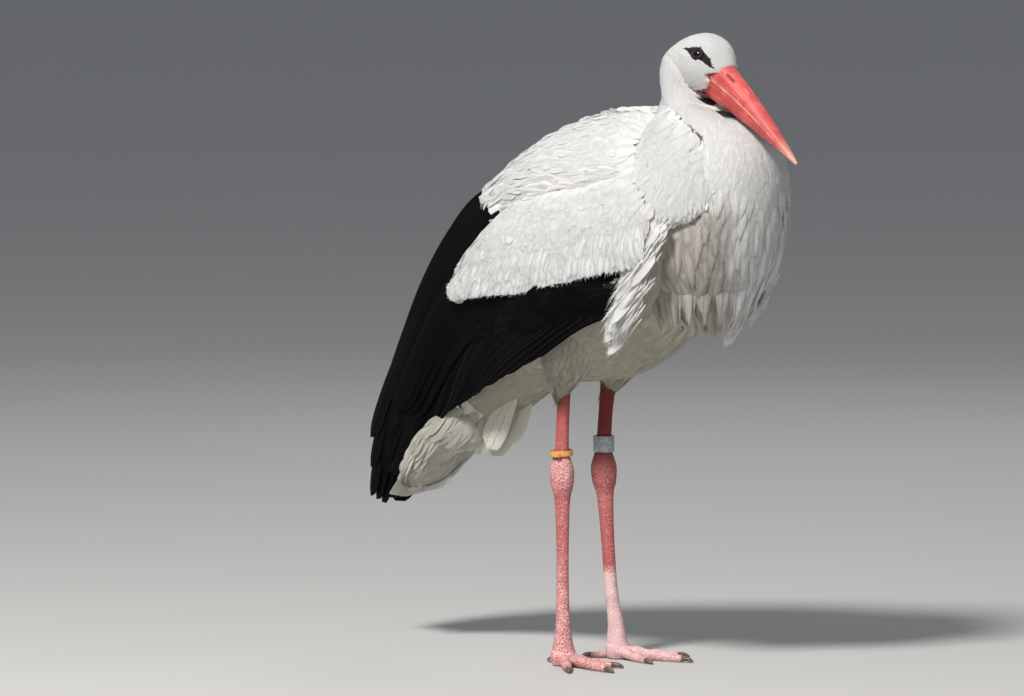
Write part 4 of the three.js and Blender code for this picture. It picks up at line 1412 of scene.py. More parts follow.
def layCoat(coat, loft, spec, keep=None, keepTip=None, push=None):
    # A coat of feathers on a loft: rows of roots, and a vane from each along the surface, rising to its tip.
    # keep and keepTip choose by root and by tip, and push moves the finished lines.
    rng = np.random.default_rng(spec["seed"])
    u, v = rootsInRows(loft, spec, rng)
    if keep is not None:
        wanted = keep(loft.point(u, v))
        u, v = u[wanted], v[wanted]
    n = len(u)
    # a value is one number, or one for each knot
    read = lambda key: np.interp(u, spec["knots"], np.broadcast_to(spec[key], len(spec["knots"])))
    size = read("long") * (1 + rng.normal(0, 0.10, n)) * mm
    wide = read("wide") * 0.5 * (1 + rng.normal(0, 0.08, n)) * mm
    heading = np.radians(read("heading")) + rng.normal(0, radians(spec["unruly"]), n)
    if "over" in spec:
        size = np.minimum(size, leftAlong(loft, u, v, spec["flow"]) + spec["over"] * mm)
    m = spec["stations"]
    lines, normals, lastU, lastV = walk(loft, u, v, spec["flow"], heading, size, m, spec["bounds"])
    if keepTip is not None:
        good = keepTip(lastU, lastV)
        u, v, wide, lines, normals = (values[good] for values in (u, v, wide, lines, normals))
    s = np.linspace(0, 1, m)
    lift = read("lift") * mm * (1 + rng.normal(0, spec["loose"], len(u)))
    # height over the surface: minus the coat's depth at the root, up to the lift near the tip
    height = -read("depth")[:, None] * mm * (1 - s) ** 1.6 + lift[:, None] * np.sin(0.5 * pi * s) ** 1.3
    lines = lines + normals * height[..., None]
    if push is not None:
        lines = push(lines)
    normals = rolled(lines, normals, spec, rng)
    addVanes(coat, spec, rng, lines, normals, wide, bakePlace(u, (v / (2 * pi)) % 1.0))


def layBetween(coat, spec, starts, ends, facing, roots):
    # Feathers from starts to ends, in millimetres. Each bows out by a share of its length, as a half sine
    # does, and faces the given way, turned a little at random.
    rng = np.random.default_rng(spec["seed"])
    n = len(starts)
    s = np.linspace(0, 1, spec["stations"])[None, :, None]
    length = np.linalg.norm(ends - starts, axis=1)
    facing = unit(facing + rng.normal(0, spec["roll"] / 60, (n, 3)))
    bow = (spec["bow"] * length)[:, None, None] * facing[:, None] * np.sin(pi * s)
    lines = (starts[:, None] * (1 - s) + ends[:, None] * s + bow) * mm
    normals = np.broadcast_to(facing[:, None], lines.shape)
    wide = spec["wide"] * 0.5 * (1 + rng.normal(0, 0.08, n)) * mm
    addVanes(coat, spec, rng, lines, normals, wide, roots)


def addBarbs(coat, spec, rng, lines, normals, halfWidths, roots, tone):
    # Loose barbs: short slivers that leave the vane's edge at an angle to its shaft, which closes towards
    # the tip. Their roots are at shares s of the vane's length, on alternate sides.
    n, m = lines.shape[:2]
    count = spec["barbs"]
    s = np.linspace(spec["barbFrom"], 0.97, count)[None] + rng.normal(0, 0.02, (n, count))
    s = np.clip(s, 0.05, 0.985)
    at = s * (m - 1)
    low = np.minimum(at.astype(int), m - 2)
    f = (at - low)[..., None]
    pick = np.arange(n)[:, None]
    blend = lambda values: values[pick, low] * (1 - f) + values[pick, low + 1] * f
    spot, normal = blend(lines), unit(blend(normals))
    tangent = unit(lines[pick, low + 1] - lines[pick, low])
    half = blend(halfWidths[..., None])
    sign = np.where(np.arange(count) % 2 == 0, 1.0, -1.0)[None, :, None]
    side = np.cross(normal, tangent) * sign
    angle = radians(spec["fan"]) * (1 - s) / (1 - spec["barbFrom"]) + rng.normal(0, 0.10, s.shape)
    angle = angle[..., None]
    way = unit(tangent * np.cos(angle) + side * np.sin(angle))
    long = (spec["barbLong"] * mm * (0.7 + 0.6 * rng.uniform(0, 1, s.shape)))[..., None]
    rise = normal * (rng.normal(0.25, 0.35, s.shape)[..., None] * long * spec["barbLift"])
    start = spot + side * half * 0.55 - way * long * 0.25 - normal * half * spec["camber"] * 0.4
    barb = np.stack([start, start + way * long * 0.5 + rise * 0.4, start + way * long + rise], 2)
    lean = np.broadcast_to(normal[:, :, None, :], (n, count, 3, 3)).reshape(-1, 3, 3)
    width = np.broadcast_to(np.array([0.6, 1, 0.2]) * spec["barbWide"] * 0.5 * mm, (n * count, 3))
    repeat = lambda values: np.repeat(values, count, axis=0)
    coat.add(barb.reshape(-1, 3, 3), lean, width, 0.00008, 0.1, repeat(roots), repeat(tone))


creaseShade = {
    # painted shade: a dark brown line along the groove where the shoulder's feathers meet the neck
    "line": [(169, 53.0, 558.5), (197, 52.5, 537)],
    "half": (0.0022, 0.0011),  # metres from its line where it begins to darken, and where it is darkest
    "colour": (0.10, 0.075, 0.04),
}


def alongLine(x, y, z, start, end):
    # how far a point is along a line, as a share t, and its distance from the line, squared
    way = end - start
    x, y, z = x - float(start[0]), y - float(start[1]), z - float(start[2])
    t = (x * float(way[0]) + y * float(way[1]) + z * float(way[2])) * float(1 / (way @ way))
    return t, x * x + y * y + z * z - t * t * float(way @ way)


# the slot under the root of the bill, painted black: bare black skin, and painted shade in the gap between
# the bill and the neck
slotBlackAndShade = {
    "radius": (0.0303, 0.027),  # metres: at t = 0, and how much it narrows by t = 1
    "below": (-0.014, -0.017),  # metres up from the bill's root, in the head's frame, between which it begins
    "starts": (0.03, 0.07),  # shares t of the bill's axis between which it begins and ends
    "ends": (0.36, 0.30),
}


def slotBlackAndShadeMark(x, y, z):
    # 1 in the slot under the root of the bill, whose radius about the bill's axis narrows with t; what is
    #  painted black there stands for bare black skin and for the shade in the gap under the bill
    root, tip = billAxis()
    t, away = alongLine(x, y, z, root, tip)
    up = headTurn[:, 2]
    below = (x - float(root[0])) * float(up[0]) + y * float(up[1]) + (z - float(root[2])) * float(up[2])
    radius = slotBlackAndShade["radius"][0] - slotBlackAndShade["radius"][1] * t
    narrow = (away - radius * radius).rise(0.00003, 0.0) * below.rise(*slotBlackAndShade["below"])
    return narrow * t.rise(*slotBlackAndShade["ends"]) * t.rise(*slotBlackAndShade["starts"])


def creaseShadeMark(x, y, z):
    # 1 along the short dark groove between the neck and the shoulder, on both sides: painted shade
    t, away = alongLine(x, abs(y), z, *(np.array(creaseShade["line"]) * mm))
    return away.rise(creaseShade["half"][0] ** 2, creaseShade["half"][1] ** 2) * t.rise(0.0, 0.15) * t.rise(1.0, 0.8)


def whiteFinish(name, bright, warm=0.0, mottle=0.0, lowShade=0.0):
    # white vane: darker towards its root, partly for its down and partly as painted shade under the vanes
    # over it,
    #  and darker along its shaft, with fine barbs that slant off it, over soft rises and hollows, mottle
    #  metres deep, that run on from one vane to the next. Painted shade also lies low on the right side, by
    #  the given amount, in the slot under the bill and along the groove between the neck and the shoulder
    paint = Finish(name)
    s, a, _ = paint.split(paint.uv("vane"))
    x, y, z = paint.split(paint.coordinates())
    off = abs(a - 0.5) * 2.0
    barbs = ((s * 16.0 - off * 5.0) * (2 * pi)).sine()
    base = (bright, bright * (0.988 - 0.03 * warm), bright * (0.965 - 0.16 * warm))
    stain = paint.noise(paint.coordinates(), 22, 4, 0.6)
    dingy = scaledColour((base[0], base[1] * 0.95, base[2] * 0.85), 0.93)
    # painted shade: warm grey-brown low down, more on the right side than the left
    low = z.rise(0.495, 0.445) * (y * -0.9 - x).rise(-0.20, -0.17)
    hollows = paint.noise(paint.coordinates((1, 1, 0.7)), 62, 2, 0.5)
    colour = paint.blend(paint.attribute("tone"), scaledColour(base, 0.965), scaledColour(base, 1.0))
    for amount, over in (
        # darker towards the root: its down, and painted shade where other vanes lie over it
        (s.rise(0.5, 0.0) * 0.12, scaledColour(base, 0.8)),
        (off.rise(0.12, 0.02) * 0.05, scaledColour(base, 0.85)),
        (stain.rise(0.56, 0.8) * 0.2, dingy),
        (low * lowShade, (0.36, 0.31, 0.25)),
        # white feathers in the slot under the bill painted black: painted shade
        (slotBlackAndShadeMark(x, y, z), skin["black"]),
        # painted shade along the groove between the neck and the shoulder
        (creaseShadeMark(x, y, z), creaseShade["colour"]),
    ):
        colour = paint.blend(amount, colour, over)
    normal = paint.bump(barbs * 0.00006 + hollows * mottle, 1.0)
    deep = {"Subsurface Weight": 0.5, "Subsurface Radius": (1.0, 0.92, 0.82), "Subsurface Scale": 0.004}
    return paint.surface(colour, 0.62, 0.25, normal, deep)


def blackFinish():
    # black vane: painted blue-grey sheen in streaks, which are also glossier, a paler shaft and a worn brown
    # rim
    paint = Finish("plumage_black")
    s, a, _ = paint.split(paint.uv("vane"))
    tone = paint.attribute("tone")
    off = abs(a - 0.5) * 2.0
    barbs = ((s * 70.0 - off * 9.0) * (2 * pi)).sine()
    sheenStreaks = paint.noise(paint.coordinates(), 90, 4, 0.6)
    colour = paint.blend(tone, (0.0010, 0.0010, 0.0012), (0.0028, 0.0026, 0.0028))
    colour = paint.blend(off.rise(0.92, 1.0) * tone.rise(0.6, 1.0) * 0.3, colour, (0.06, 0.056, 0.055))
    colour = paint.blend(off.rise(0.05, 0.012) * tone.rise(0.5, 0.98) * 0.3, colour, (0.035, 0.032, 0.030))
    # painted sheen: bluish grey streaks on the black
    colour = paint.blend(sheenStreaks.rise(0.64, 0.8) * 0.12, colour, (0.010, 0.010, 0.012))
    return paint.surface(colour, 0.55 + 0.18 * sheenStreaks, 0.045, paint.bump(barbs, 0.0003, 0.4))


feather = {
    # what most feathers share; lengths are millimetres, angles degrees, and barbs the number of loose ones
    "depth": 0.8, "thick": 0.05, "camber": 0.02, "kind": "round", "stations": 6, "flow": 1,
    "unruly": 7, "loose": 0.35, "roll": 2, "scatter": 0.2, "bounds": (0.0, 1.0), "barbs": 0, "heading": 0,
    "barbLong": 7, "barbWide": 0.7, "barbFrom": 0.45, "barbLift": 0.03, "fan": 34,
}
headCoat = {
    **feather,
    "u": (0.03, 0.985), "v": (0, 2 * pi), "knots": [0, 0.25, 0.6, 0.85, 1],
    "long": [12, 10, 7.5, 5, 4], "wide": [3.2, 2.8, 2.1, 1.5, 1.3],
    "rowGap": [2.8, 2.4, 1.7, 1.2, 1.0], "columnGap": [2.0, 1.7, 1.3, 1.0, 0.85],
    "lift": [0.5, 0.45, 0.35, 0.3, 0.25], "thick": 0.08, "camber": 0.1, "kind": "tuft", "stations": 4,
    "flow": -1, "unruly": 8, "roll": 5, "seed": 11,
}
napeCoat = {
    **feather,
    "u": (0.03, 0.97), "v": (0, 2 * pi), "knots": [0, 0.5, 1], "long": [12, 13, 14],
    "wide": [3.4, 3.8, 4.2], "rowGap": [2.6, 2.8, 3.0], "columnGap": [1.9, 2.1, 2.3],
    "lift": 0.2, "camber": 0.04, "kind": "tuft", "stations": 4, "roll": 4, "seed": 22,
}
throatCoat = {
    **feather,
    "u": (0.42, 0.99), "v": (-pi / 2, 3 * pi / 2), "knots": [0.42, 0.55, 0.7, 0.85, 1],
    "long": [30, 22, 16, 13, 12], "wide": [9, 7, 5, 4, 3.4], "rowGap": [6.5, 5.0, 3.7, 2.9, 2.4],
    "columnGap": [5.0, 3.9, 2.8, 2.2, 1.9], "lift": [0.4, 0.28, 0.2, 0.2, 0.2], "depth": 0.9,
    "camber": 0.03, "kind": "tuft", "stations": 5, "flow": -1, "unruly": 5, "loose": 0.3, "roll": 1.2,
    "barbs": 5, "barbLong": 4, "fan": 16, "seed": 21,
}
neckCoat = {
    **feather,
    "u": (0.10, 0.50), "v": (-pi / 2, 3 * pi / 2), "knots": [0, 0.2, 0.35, 0.5],
    "long": [50, 48, 44, 34], "wide": [15, 15, 13, 10], "rowGap": [11, 11, 10, 8],
    "columnGap": [8.5, 8.5, 7.5, 6], "lift": [0.7, 0.7, 0.5, 0.3], "depth": 1.6, "thick": 0.09,
    "camber": 0.05, "kind": "lance", "stations": 7, "flow": -1, "bounds": (0.12, 1.0), "loose": 0.5,
    "barbs": 16, "barbLong": 9, "barbWide": 0.55, "barbFrom": 0.3, "barbLift": 0.06, "fan": 22,
    "seed": 12,
}
plumeCoat = {
    **feather,
    "u": (0.13, 0.44), "v": (-pi / 2 - 0.2, 3 * pi / 2 - 0.2), "knots": [0, 0.2, 0.35, 0.5],
    "long": [54, 54, 46, 30], "wide": [15, 15, 13, 9], "rowGap": [19, 19, 17, 13],
    "columnGap": [13, 13, 12, 10], "lift": [1.5, 1.4, 1.1, 0.5], "depth": 0.6, "thick": 0.12,
    "camber": 0.04, "kind": "lance", "stations": 8, "flow": -1, "bounds": (0.12, 1.0), "loose": 0.5,
    "roll": 2.5, "barbs": 22, "barbLong": 9, "barbWide": 0.5, "barbFrom": 0.25, "barbLift": 0.06,
    "fan": 24, "seed": 44,
}
fringe = {
    # locks that hang from the breast
    **feather,
    "turns": (-1.7, 1.7), "locks": 13, "each": 11,
    "spread": 26,  # millimetres over which the roots of one lock are strung
    "long": 50, "wide": 11, "bow": 0.07, "thick": 0.12, "camber": 0.06, "kind": "lance", "stations": 7,
    "roll": 5, "barbs": 16, "barbLong": 8, "barbWide": 0.75, "barbFrom": 0.3, "barbLift": 0.08,
    "fan": 22, "seed": 41,
}
shoulderCoat = {
    **feather,
    "u": (0.05, 0.99), "v": (-0.3, pi + 0.3), "knots": [0, 0.3, 0.6, 0.85, 1],
    "long": [28, 28, 28, 38, 46], "wide": [12, 11, 12, 15, 18], "rowGap": [5.4, 5.4, 6, 7.5, 8.5],
    "columnGap": [4.8, 4.8, 5.4, 6.4, 7], "heading": [84, 74, 50, 24, 8],
    "lift": [0.2, 0.2, 0.2, 0.3, 0.6], "depth": [1.2, 1.0, 1.0, 1.0, 1.0], "thick": 0.04,
    "kind": "tuft", "loose": 0.4, "roll": 1.5, "barbs": 5, "barbLong": 5, "seed": 42,
    "bounds": (0.0, 0.86),
}
backCoat = {
    **feather,
    "u": (0.35, 0.995), "v": (0.2, pi - 0.2), "knots": [0, 0.5, 0.8, 1], "long": [36, 34, 28, 22],
    "wide": [18, 17, 14, 11], "rowGap": [9, 8.5, 7, 5.5], "columnGap": [8, 7.5, 6, 5],
    "lift": 0.2, "depth": 1.2, "thick": 0.06, "flow": -1, "unruly": 5, "barbs": 8,
    "barbLong": 4.0, "barbWide": 0.8, "barbLift": 0.05, "seed": 13,
}
bellyCoat = {
    **feather,
    "u": (0.02, 0.97), "v": (-pi - 0.35, 0.35), "knots": [0, 0.3, 0.6, 0.85, 1],
    "long": [58, 56, 52, 46, 40], "wide": [22, 20, 18, 16, 14], "rowGap": [11, 10.5, 9.5, 9, 8],
    "columnGap": [8.5, 8.5, 7.5, 7, 6], "lift": 0.2, "depth": 1.5, "flow": -1,
    "loose": 0.3, "roll": 1.2, "barbs": 10, "barbLong": 10, "barbFrom": 0.5, "fan": 24, "seed": 14,
}
scapularCoat = {
    **feather,
    "u": (0.02, 0.95), "v": (-0.25, pi + 0.1), "knots": [0, 0.3, 0.6, 0.85, 1],
    "long": [30, 40, 50, 52, 42], "wide": [16, 20, 25, 26, 20], "rowGap": [6.5, 8, 10, 11, 10],
    "columnGap": [6, 7.5, 9, 9, 7], "heading": [-4, -6, -4, 0, 0], "lift": [0.1, 0.1, 0.1, 0.15, 0.2],
    "over": 3, "depth": 1.2, "thick": 0.06, "camber": 0.015, "stations": 8,
    "unruly": 6, "roll": 1.8, "barbs": 10, "barbLong": 3.6, "barbWide": 0.8, "barbLift": 0.04,
    "seed": 15,
}
scapularTip = {
    **feather,
    "starts": [(-52, -40, 498), (-58, -52, 484), (-46, -62, 478)],
    "ends": [(-109, -38, 467), (-112, -46, 459), (-90, -56, 462)], "facing": (-0.1, -0.85, 0.5),
    "wide": 25, "bow": 0.07, "thick": 0.1, "camber": 0.08, "kind": "quill", "stations": 22, "roll": 1,
    "barbs": 16, "barbLong": 2.5, "barbWide": 0.8, "barbFrom": 0.3, "fan": 24, "seed": 45,
}
covertCoat = {
    **feather,
    "u": (0.015, 0.95), "v": (-0.2, pi + 0.05), "knots": [0, 0.2, 0.5, 0.8, 1],
    "long": [20, 24, 30, 34, 30], "wide": [10, 12, 14, 16, 14], "rowGap": [5.0, 5.8, 7.0, 8.0, 8],
    "columnGap": [4.6, 5.4, 6.4, 7, 6.5], "heading": [52, 42, 34, 22, 10],
    "lift": [0.1, 0.12, 0.15, 0.15, 0.15], "over": 2, "depth": 1.2, "unruly": 15,
    "loose": 0.5, "barbs": 10, "barbLong": 4.2, "barbLift": 0.05, "barbFrom": 0.35, "fan": 28,
    "seed": 16, "scatter": 0.6,
}
hem = {
    # where the white ends over the black, as v at knots of u on the coverts
    **feather,
    "knots": [0.0, 0.16, 0.24, 0.36, 0.52, 0.80, 0.93, 1.0],
    "v": [2.85, 2.66, 2.46, 2.47, 2.42, 2.60, 2.72, 2.8], "u": (0.10, 0.985), "rows": 4,
    "rowGap": 0.13,  # in v
    "gap": 6.0,  # millimetres from one feather to the next
    "long": 36, "wide": 12, "heading": [66, 62, 58, 52, 46, 30, 16, 10], "lift": 4.6, "thick": 0.1,
    "camber": 0.05, "stations": 8, "unruly": 5, "roll": 2.5, "barbs": 20, "barbLong": 6,
    "barbWide": 0.55, "barbFrom": 0.4, "barbLift": 0.06, "fan": 26, "seed": 25,
}
lobes = {
    # soft lobes that end the shoulder's feathers over the breast and the front of the folded wing
    **feather,
    "knots": [0, 0.1, 0.2, 0.3, 0.4, 0.5, 0.6, 0.7, 1],
    "v": [2.5, 2.85, 2.6, 2.9, 2.6, 2.88, 2.6, 2.8, 2.6], "u": (0.06, 0.7), "rows": 4, "rowGap": 0.22,
    "gap": 5.5, "long": 34, "wide": 10, "heading": [88, 86, 78, 70, 62, 54, 46, 38, 20], "lift": 1.4,
    "camber": 0.04, "kind": "tuft", "stations": 7, "unruly": 12, "roll": 5, "barbs": 16, "barbLong": 9,
    "barbWide": 0.45, "barbFrom": 0.4, "barbLift": 0.05, "fan": 24, "seed": 46,
}
thighCoat = {
    **feather,
    "u": (0.1, 0.93), "v": (0, 2 * pi), "knots": [0, 0.4, 0.8, 1], "long": [34, 30, 24, 20],
    "wide": [13, 12, 9, 7], "rowGap": [7, 6, 4.6, 4], "columnGap": [6, 5.5, 4.6, 4],
    "lift": [1.0, 1.0, 0.9, 0.8], "depth": 1.6, "thick": 0.1, "camber": 0.08, "kind": "lance",
    "unruly": 8, "loose": 0.5, "roll": 4, "barbs": 10, "barbLift": 0.05, "fan": 22, "seed": 17,
}
undertailCoat = {
    **feather,
    "u": (0.02, 0.9), "v": (-pi, pi), "knots": [0, 0.5, 1], "long": [62, 64, 56], "wide": [24, 24, 20],
    "rowGap": [15, 15, 13], "columnGap": [9, 9, 8], "lift": [0.35, 0.35, 0.3], "over": 3, "depth": 1.5,
    "thick": 0.06, "stations": 9, "unruly": 4, "roll": 1.2, "barbs": 12, "barbFrom": 0.35, "seed": 18,
}
longUndertail = {
    # the longest coverts under the tail, from start to end
    **feather,
    "starts": [(-76, -22, 284), (-84, 14, 280), (-96, -12, 262), (-72, -4, 286), (-100, 22, 258)],
    "ends": [(-126, -18, 212), (-142, 8, 203), (-150, -10, 206), (-118, 0, 218), (-158, 20, 204)],
    "wide": 32, "bow": 0.05, "thick": 0.14, "camber": 0.12, "stations": 12, "barbs": 30,
    "barbFrom": 0.3, "seed": 43,
}
flank = {
    # loose feathers of the flank that curl over the front of the black, and a tuft below them
    **feather,
    "line": [
        (168, -86, 460), (166, -90, 446), (157, -96, 424), (147, -96, 402), (137, -94, 382), (128, -90, 362)
    ],
    "tuft": (121, -87, 350), "way": (-0.60, -0.10, -0.78), "count": 320, "tuftCount": 16, "scatter": 8,
    "long": 26, "wide": 1.9, "bow": 0.05, "thick": 0.03, "camber": 0.08, "kind": "lance",
    "stations": 7, "roll": 6, "barbs": 7, "barbLong": 10, "barbWide": 0.35, "barbFrom": 0.3,
    "barbLift": 0.06, "fan": 30, "seed": 24, "sway": 0.09,
}
flankBed = {
    # the broader feathers below them
    **flank,
    "count": 110, "tuftCount": 6, "scatter": 6, "long": 30, "wide": 13, "bow": 0.03, "camber": 0.0,
    "kind": "tuft", "roll": 0.5, "barbs": 24, "barbLong": 8, "barbWide": 0.4, "seed": 47, "sway": 0.04,
}


def faceKeep(points):
    # no feathers under the bill, on the black skin or in the gape, nor deep inside the neck
    bare = np.maximum(aheadShare(points), stripShare(points))
    clear = ~insideBill(points, 0.6) & (maskShare(points) < 0.35) & (bare < 0.5)
    return clear & outside(points, [neckLoft], 0.8) & outside(points, [napeLoft], 0.6)


def neckKeep(points):
    bed = ~insideBill(points) & ~inSlot(points)
    hidden = outside(points, [trunkLoft], 0.93) & outside(points, [headLoft], 0.97)
    return bed & hidden & outside(points, shoulderLofts, 0.88)


def clearOf(*groups, also=None):
    # keeps the points outside each group of lofts, shrunk to that group's share of their size
    def keep(points):
        clear = np.all([outside(points, lofts, margin) for lofts, margin in groups], axis=0)
        return clear & also(points) if also else clear

    return keep


def makeHem(coat, loft, spec):
    # Rows of feathers whose tips lie on the hem, each row a step above the last. A feather is walked from its
    # tip back to its root, and its line is then turned round.
    rng = np.random.default_rng(spec["seed"])
    fine = np.linspace(*spec["u"], 300)
    m = spec["stations"]
    s = np.linspace(0, 1, m)
    for row in range(spec["rows"]):
        tipV = np.interp(fine, spec["knots"], spec["v"]) - spec["rowGap"] * row
        along = alongPath(loft.point(fine, tipV))
        n = int(along[-1] / (spec["gap"] * mm))
        at = (np.arange(n) + 0.3 + 0.5 * (row % 2)) / n * along[-1] + rng.normal(0, 0.8, n) * mm
        u = np.interp(at, along, fine)
        v = np.interp(at, along, tipV) + rng.normal(0, 0.012, n)
        heading = np.radians(np.interp(u, spec["knots"], spec["heading"]) + rng.normal(0, spec["unruly"], n))
        size = spec["long"] * (1 + rng.normal(0, 0.08, n)) * mm
        lines, normals, _, _ = walk(loft, u, v, -1, -heading, size, m)
        lines, normals = lines[:, ::-1], normals[:, ::-1]
        lift = spec["lift"] * (1 - 0.22 * row) * mm * (1 + rng.normal(0, 0.12, n))
        height = -spec["depth"] * mm * (1 - s) ** 1.6 + lift[:, None] * s**1.3
        lines = lines + normals * height[..., None]
        normals = rolled(lines, normals, spec, rng)
        wide = spec["wide"] * 0.5 * (1 + rng.normal(0, 0.08, n)) * mm
        addVanes(coat, spec, rng, lines, normals, wide, bakePlace(u, v / (2 * pi)))


def makeFringe(coat):
    # Locks that hang from the breast. At a turn round it with cosine c and sine s, and with up from 0 to 1, a
    # feather goes from (150 + 68 c, 62 s, 418 + 26 up) to (150 + 57 c, 53 s, 344 + 17 c + 16 up). Each lock's
    # roots are strung across it and its tips drawn together, so that it ends in a point.
    rng = np.random.default_rng(fringe["seed"])
    turn = np.repeat(np.linspace(*fringe["turns"], fringe["locks"]), fringe["each"])
    place = np.tile(np.linspace(-0.5, 0.5, fringe["each"]), fringe["locks"]) + rng.normal(0, 0.08, len(turn))
    up = rng.uniform(0, 1, len(turn))
    c, s = np.cos(turn), np.sin(turn)
    aside = vectors(-s, c, 0) * (place * fringe["spread"])[:, None]
    start = vectors(150 + 68 * c, 62 * s, 418 + 26 * up) + aside
    end = vectors(150 + 57 * c, 53 * s, 344 + 17 * c + 16 * up + 26 * place**2) + aside * 0.36
    roots = np.stack([0.05 + 0.1 * up, 0.02 + 0.96 * ((pi / 2 - turn) / (2 * pi) % 1.0)], -1)
    layBetween(coat, fringe, start, end, vectors(c, s, 0.1), roots)


def makeScapularTip(coat, mirror):
    # the longest feathers of the shoulder end in one broad round tip over the black
    starts, ends = (np.array(scapularTip[key], float) * flip(mirror) for key in ("starts", "ends"))
    roots = np.repeat(0.8 + 0.03 * np.arange(len(starts)), 2).reshape(-1, 2)
    layBetween(coat, scapularTip, starts, ends, scapularTip["facing"] * flip(mirror), roots)


def makeFlank(coat, mirror, spec):
    # roots scattered along the line and in the tuft below it; all point back, down and a little outwards
    rng = np.random.default_rng(spec["seed"])
    t = np.sort(rng.uniform(0, 1, spec["count"]))
    start = throughKnots(spec["line"], t)
    low = np.array(spec["tuft"], float) + rng.normal(0, 1, (spec["tuftCount"], 3)) * (3, 1, 4)
    start = np.vstack([start + rng.normal(0, spec["scatter"], start.shape) * (1, 0.25, 0.6), low])
    way = unit(np.array(spec["way"]) + rng.normal(0, spec["sway"], start.shape))
    size = spec["long"] * (1 + rng.normal(0, 0.18, len(start)))
    size[spec["count"] :] *= 0.72
    end = start + way * size[:, None]
    t = np.concatenate([t, rng.uniform(0.9, 1.0, spec["tuftCount"])])
    roots = np.stack([0.02 + 0.05 * rng.uniform(0, 1, len(t)), 0.05 + 0.4 * t], -1)
    layBetween(coat, spec, start * flip(mirror), end * flip(mirror), (0.2, -0.9, 0.35) * flip(mirror), roots)


def makeCoats():
    # copies of one white that differ by how light falls on them: the head's and neck's is lighter and the
    # flank's a touch lighter, as painted light; the belly's and the thighs' are darker and warmer, as painted
    # shade, with some dirt in the belly's warmth
    white = whiteFinish("plumage_white", 0.86, 0, 0.0010)
    scaly = whiteFinish("plumage_covert", 0.86, 0, 0.0024)
    # the breast's feathers carry painted shade low on the right side
    shaggy = whiteFinish("plumage_breast", 0.86, 0.1, 0.0022, 0.8)
    loose = whiteFinish("plumage_flank", 0.88, 0, 0.001)
    bright = whiteFinish("plumage_head", 0.94)
    shadedDingy = whiteFinish("plumage_cream", 0.60, 1.5, 0.001)
    thighShade = whiteFinish("plumage_dusk", 0.48, 1.5, 0.001)
    folded = [*shoulderLofts, *scapularLofts, *covertLofts, *flightLofts]
    onTrunk = clearOf(([neckLoft], 0.95), (folded, 0.85), (thighLofts, 0.85))
    byNape, byNeck = (clearOf(([loft], 0.97), also=neckKeep) for loft in (neckLoft, napeLoft))
    # name, finish, and each coat's loft, feathers, and which of its roots it keeps
    pieces = [
        ("head", bright, [(headLoft, headCoat, faceKeep)]),
        ("nape", bright, [(napeLoft, napeCoat, byNape)]),
        ("neck", bright, [(neckLoft, throatCoat, byNeck)]),
        ("breast", shaggy, [(neckLoft, neckCoat, neckKeep), (neckLoft, plumeCoat, neckKeep)]),
        ("back", white, [(trunkLoft, backCoat, onTrunk)]),
        ("belly", shadedDingy, [(trunkLoft, bellyCoat, onTrunk)]),
    ]
    for name, finish, layers in pieces:
        coat = Coat("feathers_" + name)
        for loft, spec, keep in layers:
            layCoat(coat, loft, spec, keep, push=bedded if loft in (napeLoft, neckLoft) else None)
        if name == "breast":
            makeFringe(coat)
        coat.build(finish)
    aboveHem = lambda u, v: v < np.interp(u, hem["knots"], hem["v"]) - 0.1
    for k, (side, mirror) in enumerate(rightLeft):
        shoulders, scapulars, coverts, thighs = (
            lofts[k] for lofts in (shoulderLofts, scapularLofts, covertLofts, thighLofts)
        )
        coat = Coat("feathers_shoulder_" + side)
        layCoat(coat, shoulders, shoulderCoat, clearOf(([neckLoft, trunkLoft], 0.85)))
        makeHem(coat, shoulders, lobes)
        coat.build(white)
        coat = Coat("feathers_scapular_" + side)
        layCoat(coat, scapulars, scapularCoat, clearOf(([trunkLoft], 0.85)))
        makeScapularTip(coat, mirror)
        coat.build(white)
        coat = Coat("feathers_covert_" + side)
        layCoat(coat, coverts, covertCoat, clearOf(([trunkLoft, scapulars, shoulders], 0.85)), aboveHem)
        makeHem(coat, coverts, hem)
        coat.build(scaly)
        coat = Coat("feathers_flank_" + side)
        makeFlank(coat, mirror, flankBed)
        makeFlank(coat, mirror, flank)
        coat.build(loose)
        coat = Coat("feathers_thigh_" + side)
        layCoat(coat, thighs, thighCoat, clearOf(([trunkLoft], 0.93)))
        coat.build(thighShade)
    print("stage: coats")


quills = {
    # "from" and "to" are (u, c) on the folded wing, for the first and the last of a set, where c is 1 at the
    # wing's upper edge and -1 at its lower one; "lift" is that of the first and the last
    "primary": {
        "count": 8, "from": [(0.55, -0.75), (0.70, 0.5)], "to": [(0.985, -0.7), (0.99, 0.7)], "half": 12,
        "lift": (0.3, 1.6),
    },
    "secondary": {
        "count": 88, "from": [(0.0, -0.55), (0.54, 0.1)], "to": [(0.27, -0.88), (0.96, -0.87)], "half": 12,
        "lift": (0.5, 2.6),
    },
    "tertial": {
        "count": 12, "from": [(0.22, 0.0), (0.40, 0.92)], "to": [(0.74, -0.6), (0.90, 0.97)], "half": 17,
        "lift": (2.6, 4.0),
    },
}
quillVane = {"seed": 31, "stations": 34, "depth": 2.0, "thick": 0.35, "camber": 0.10}
blackCoat = {
    **feather,
    "u": (0.01, 0.97), "v": (0.35, pi - 0.85), "knots": [0, 0.3, 0.6, 1], "long": [36, 44, 50, 40],
    "wide": [16, 20, 22, 16], "rowGap": [12, 15, 17, 13], "columnGap": [9, 11, 12, 8],
    "heading": [12, 10, 5, 0], "lift": 0.2, "over": 4, "depth": 1.2, "thick": 0.12,
    "camber": 0.04, "stations": 8, "bounds": (0.0, 0.99), "unruly": 3, "seed": 33,
}
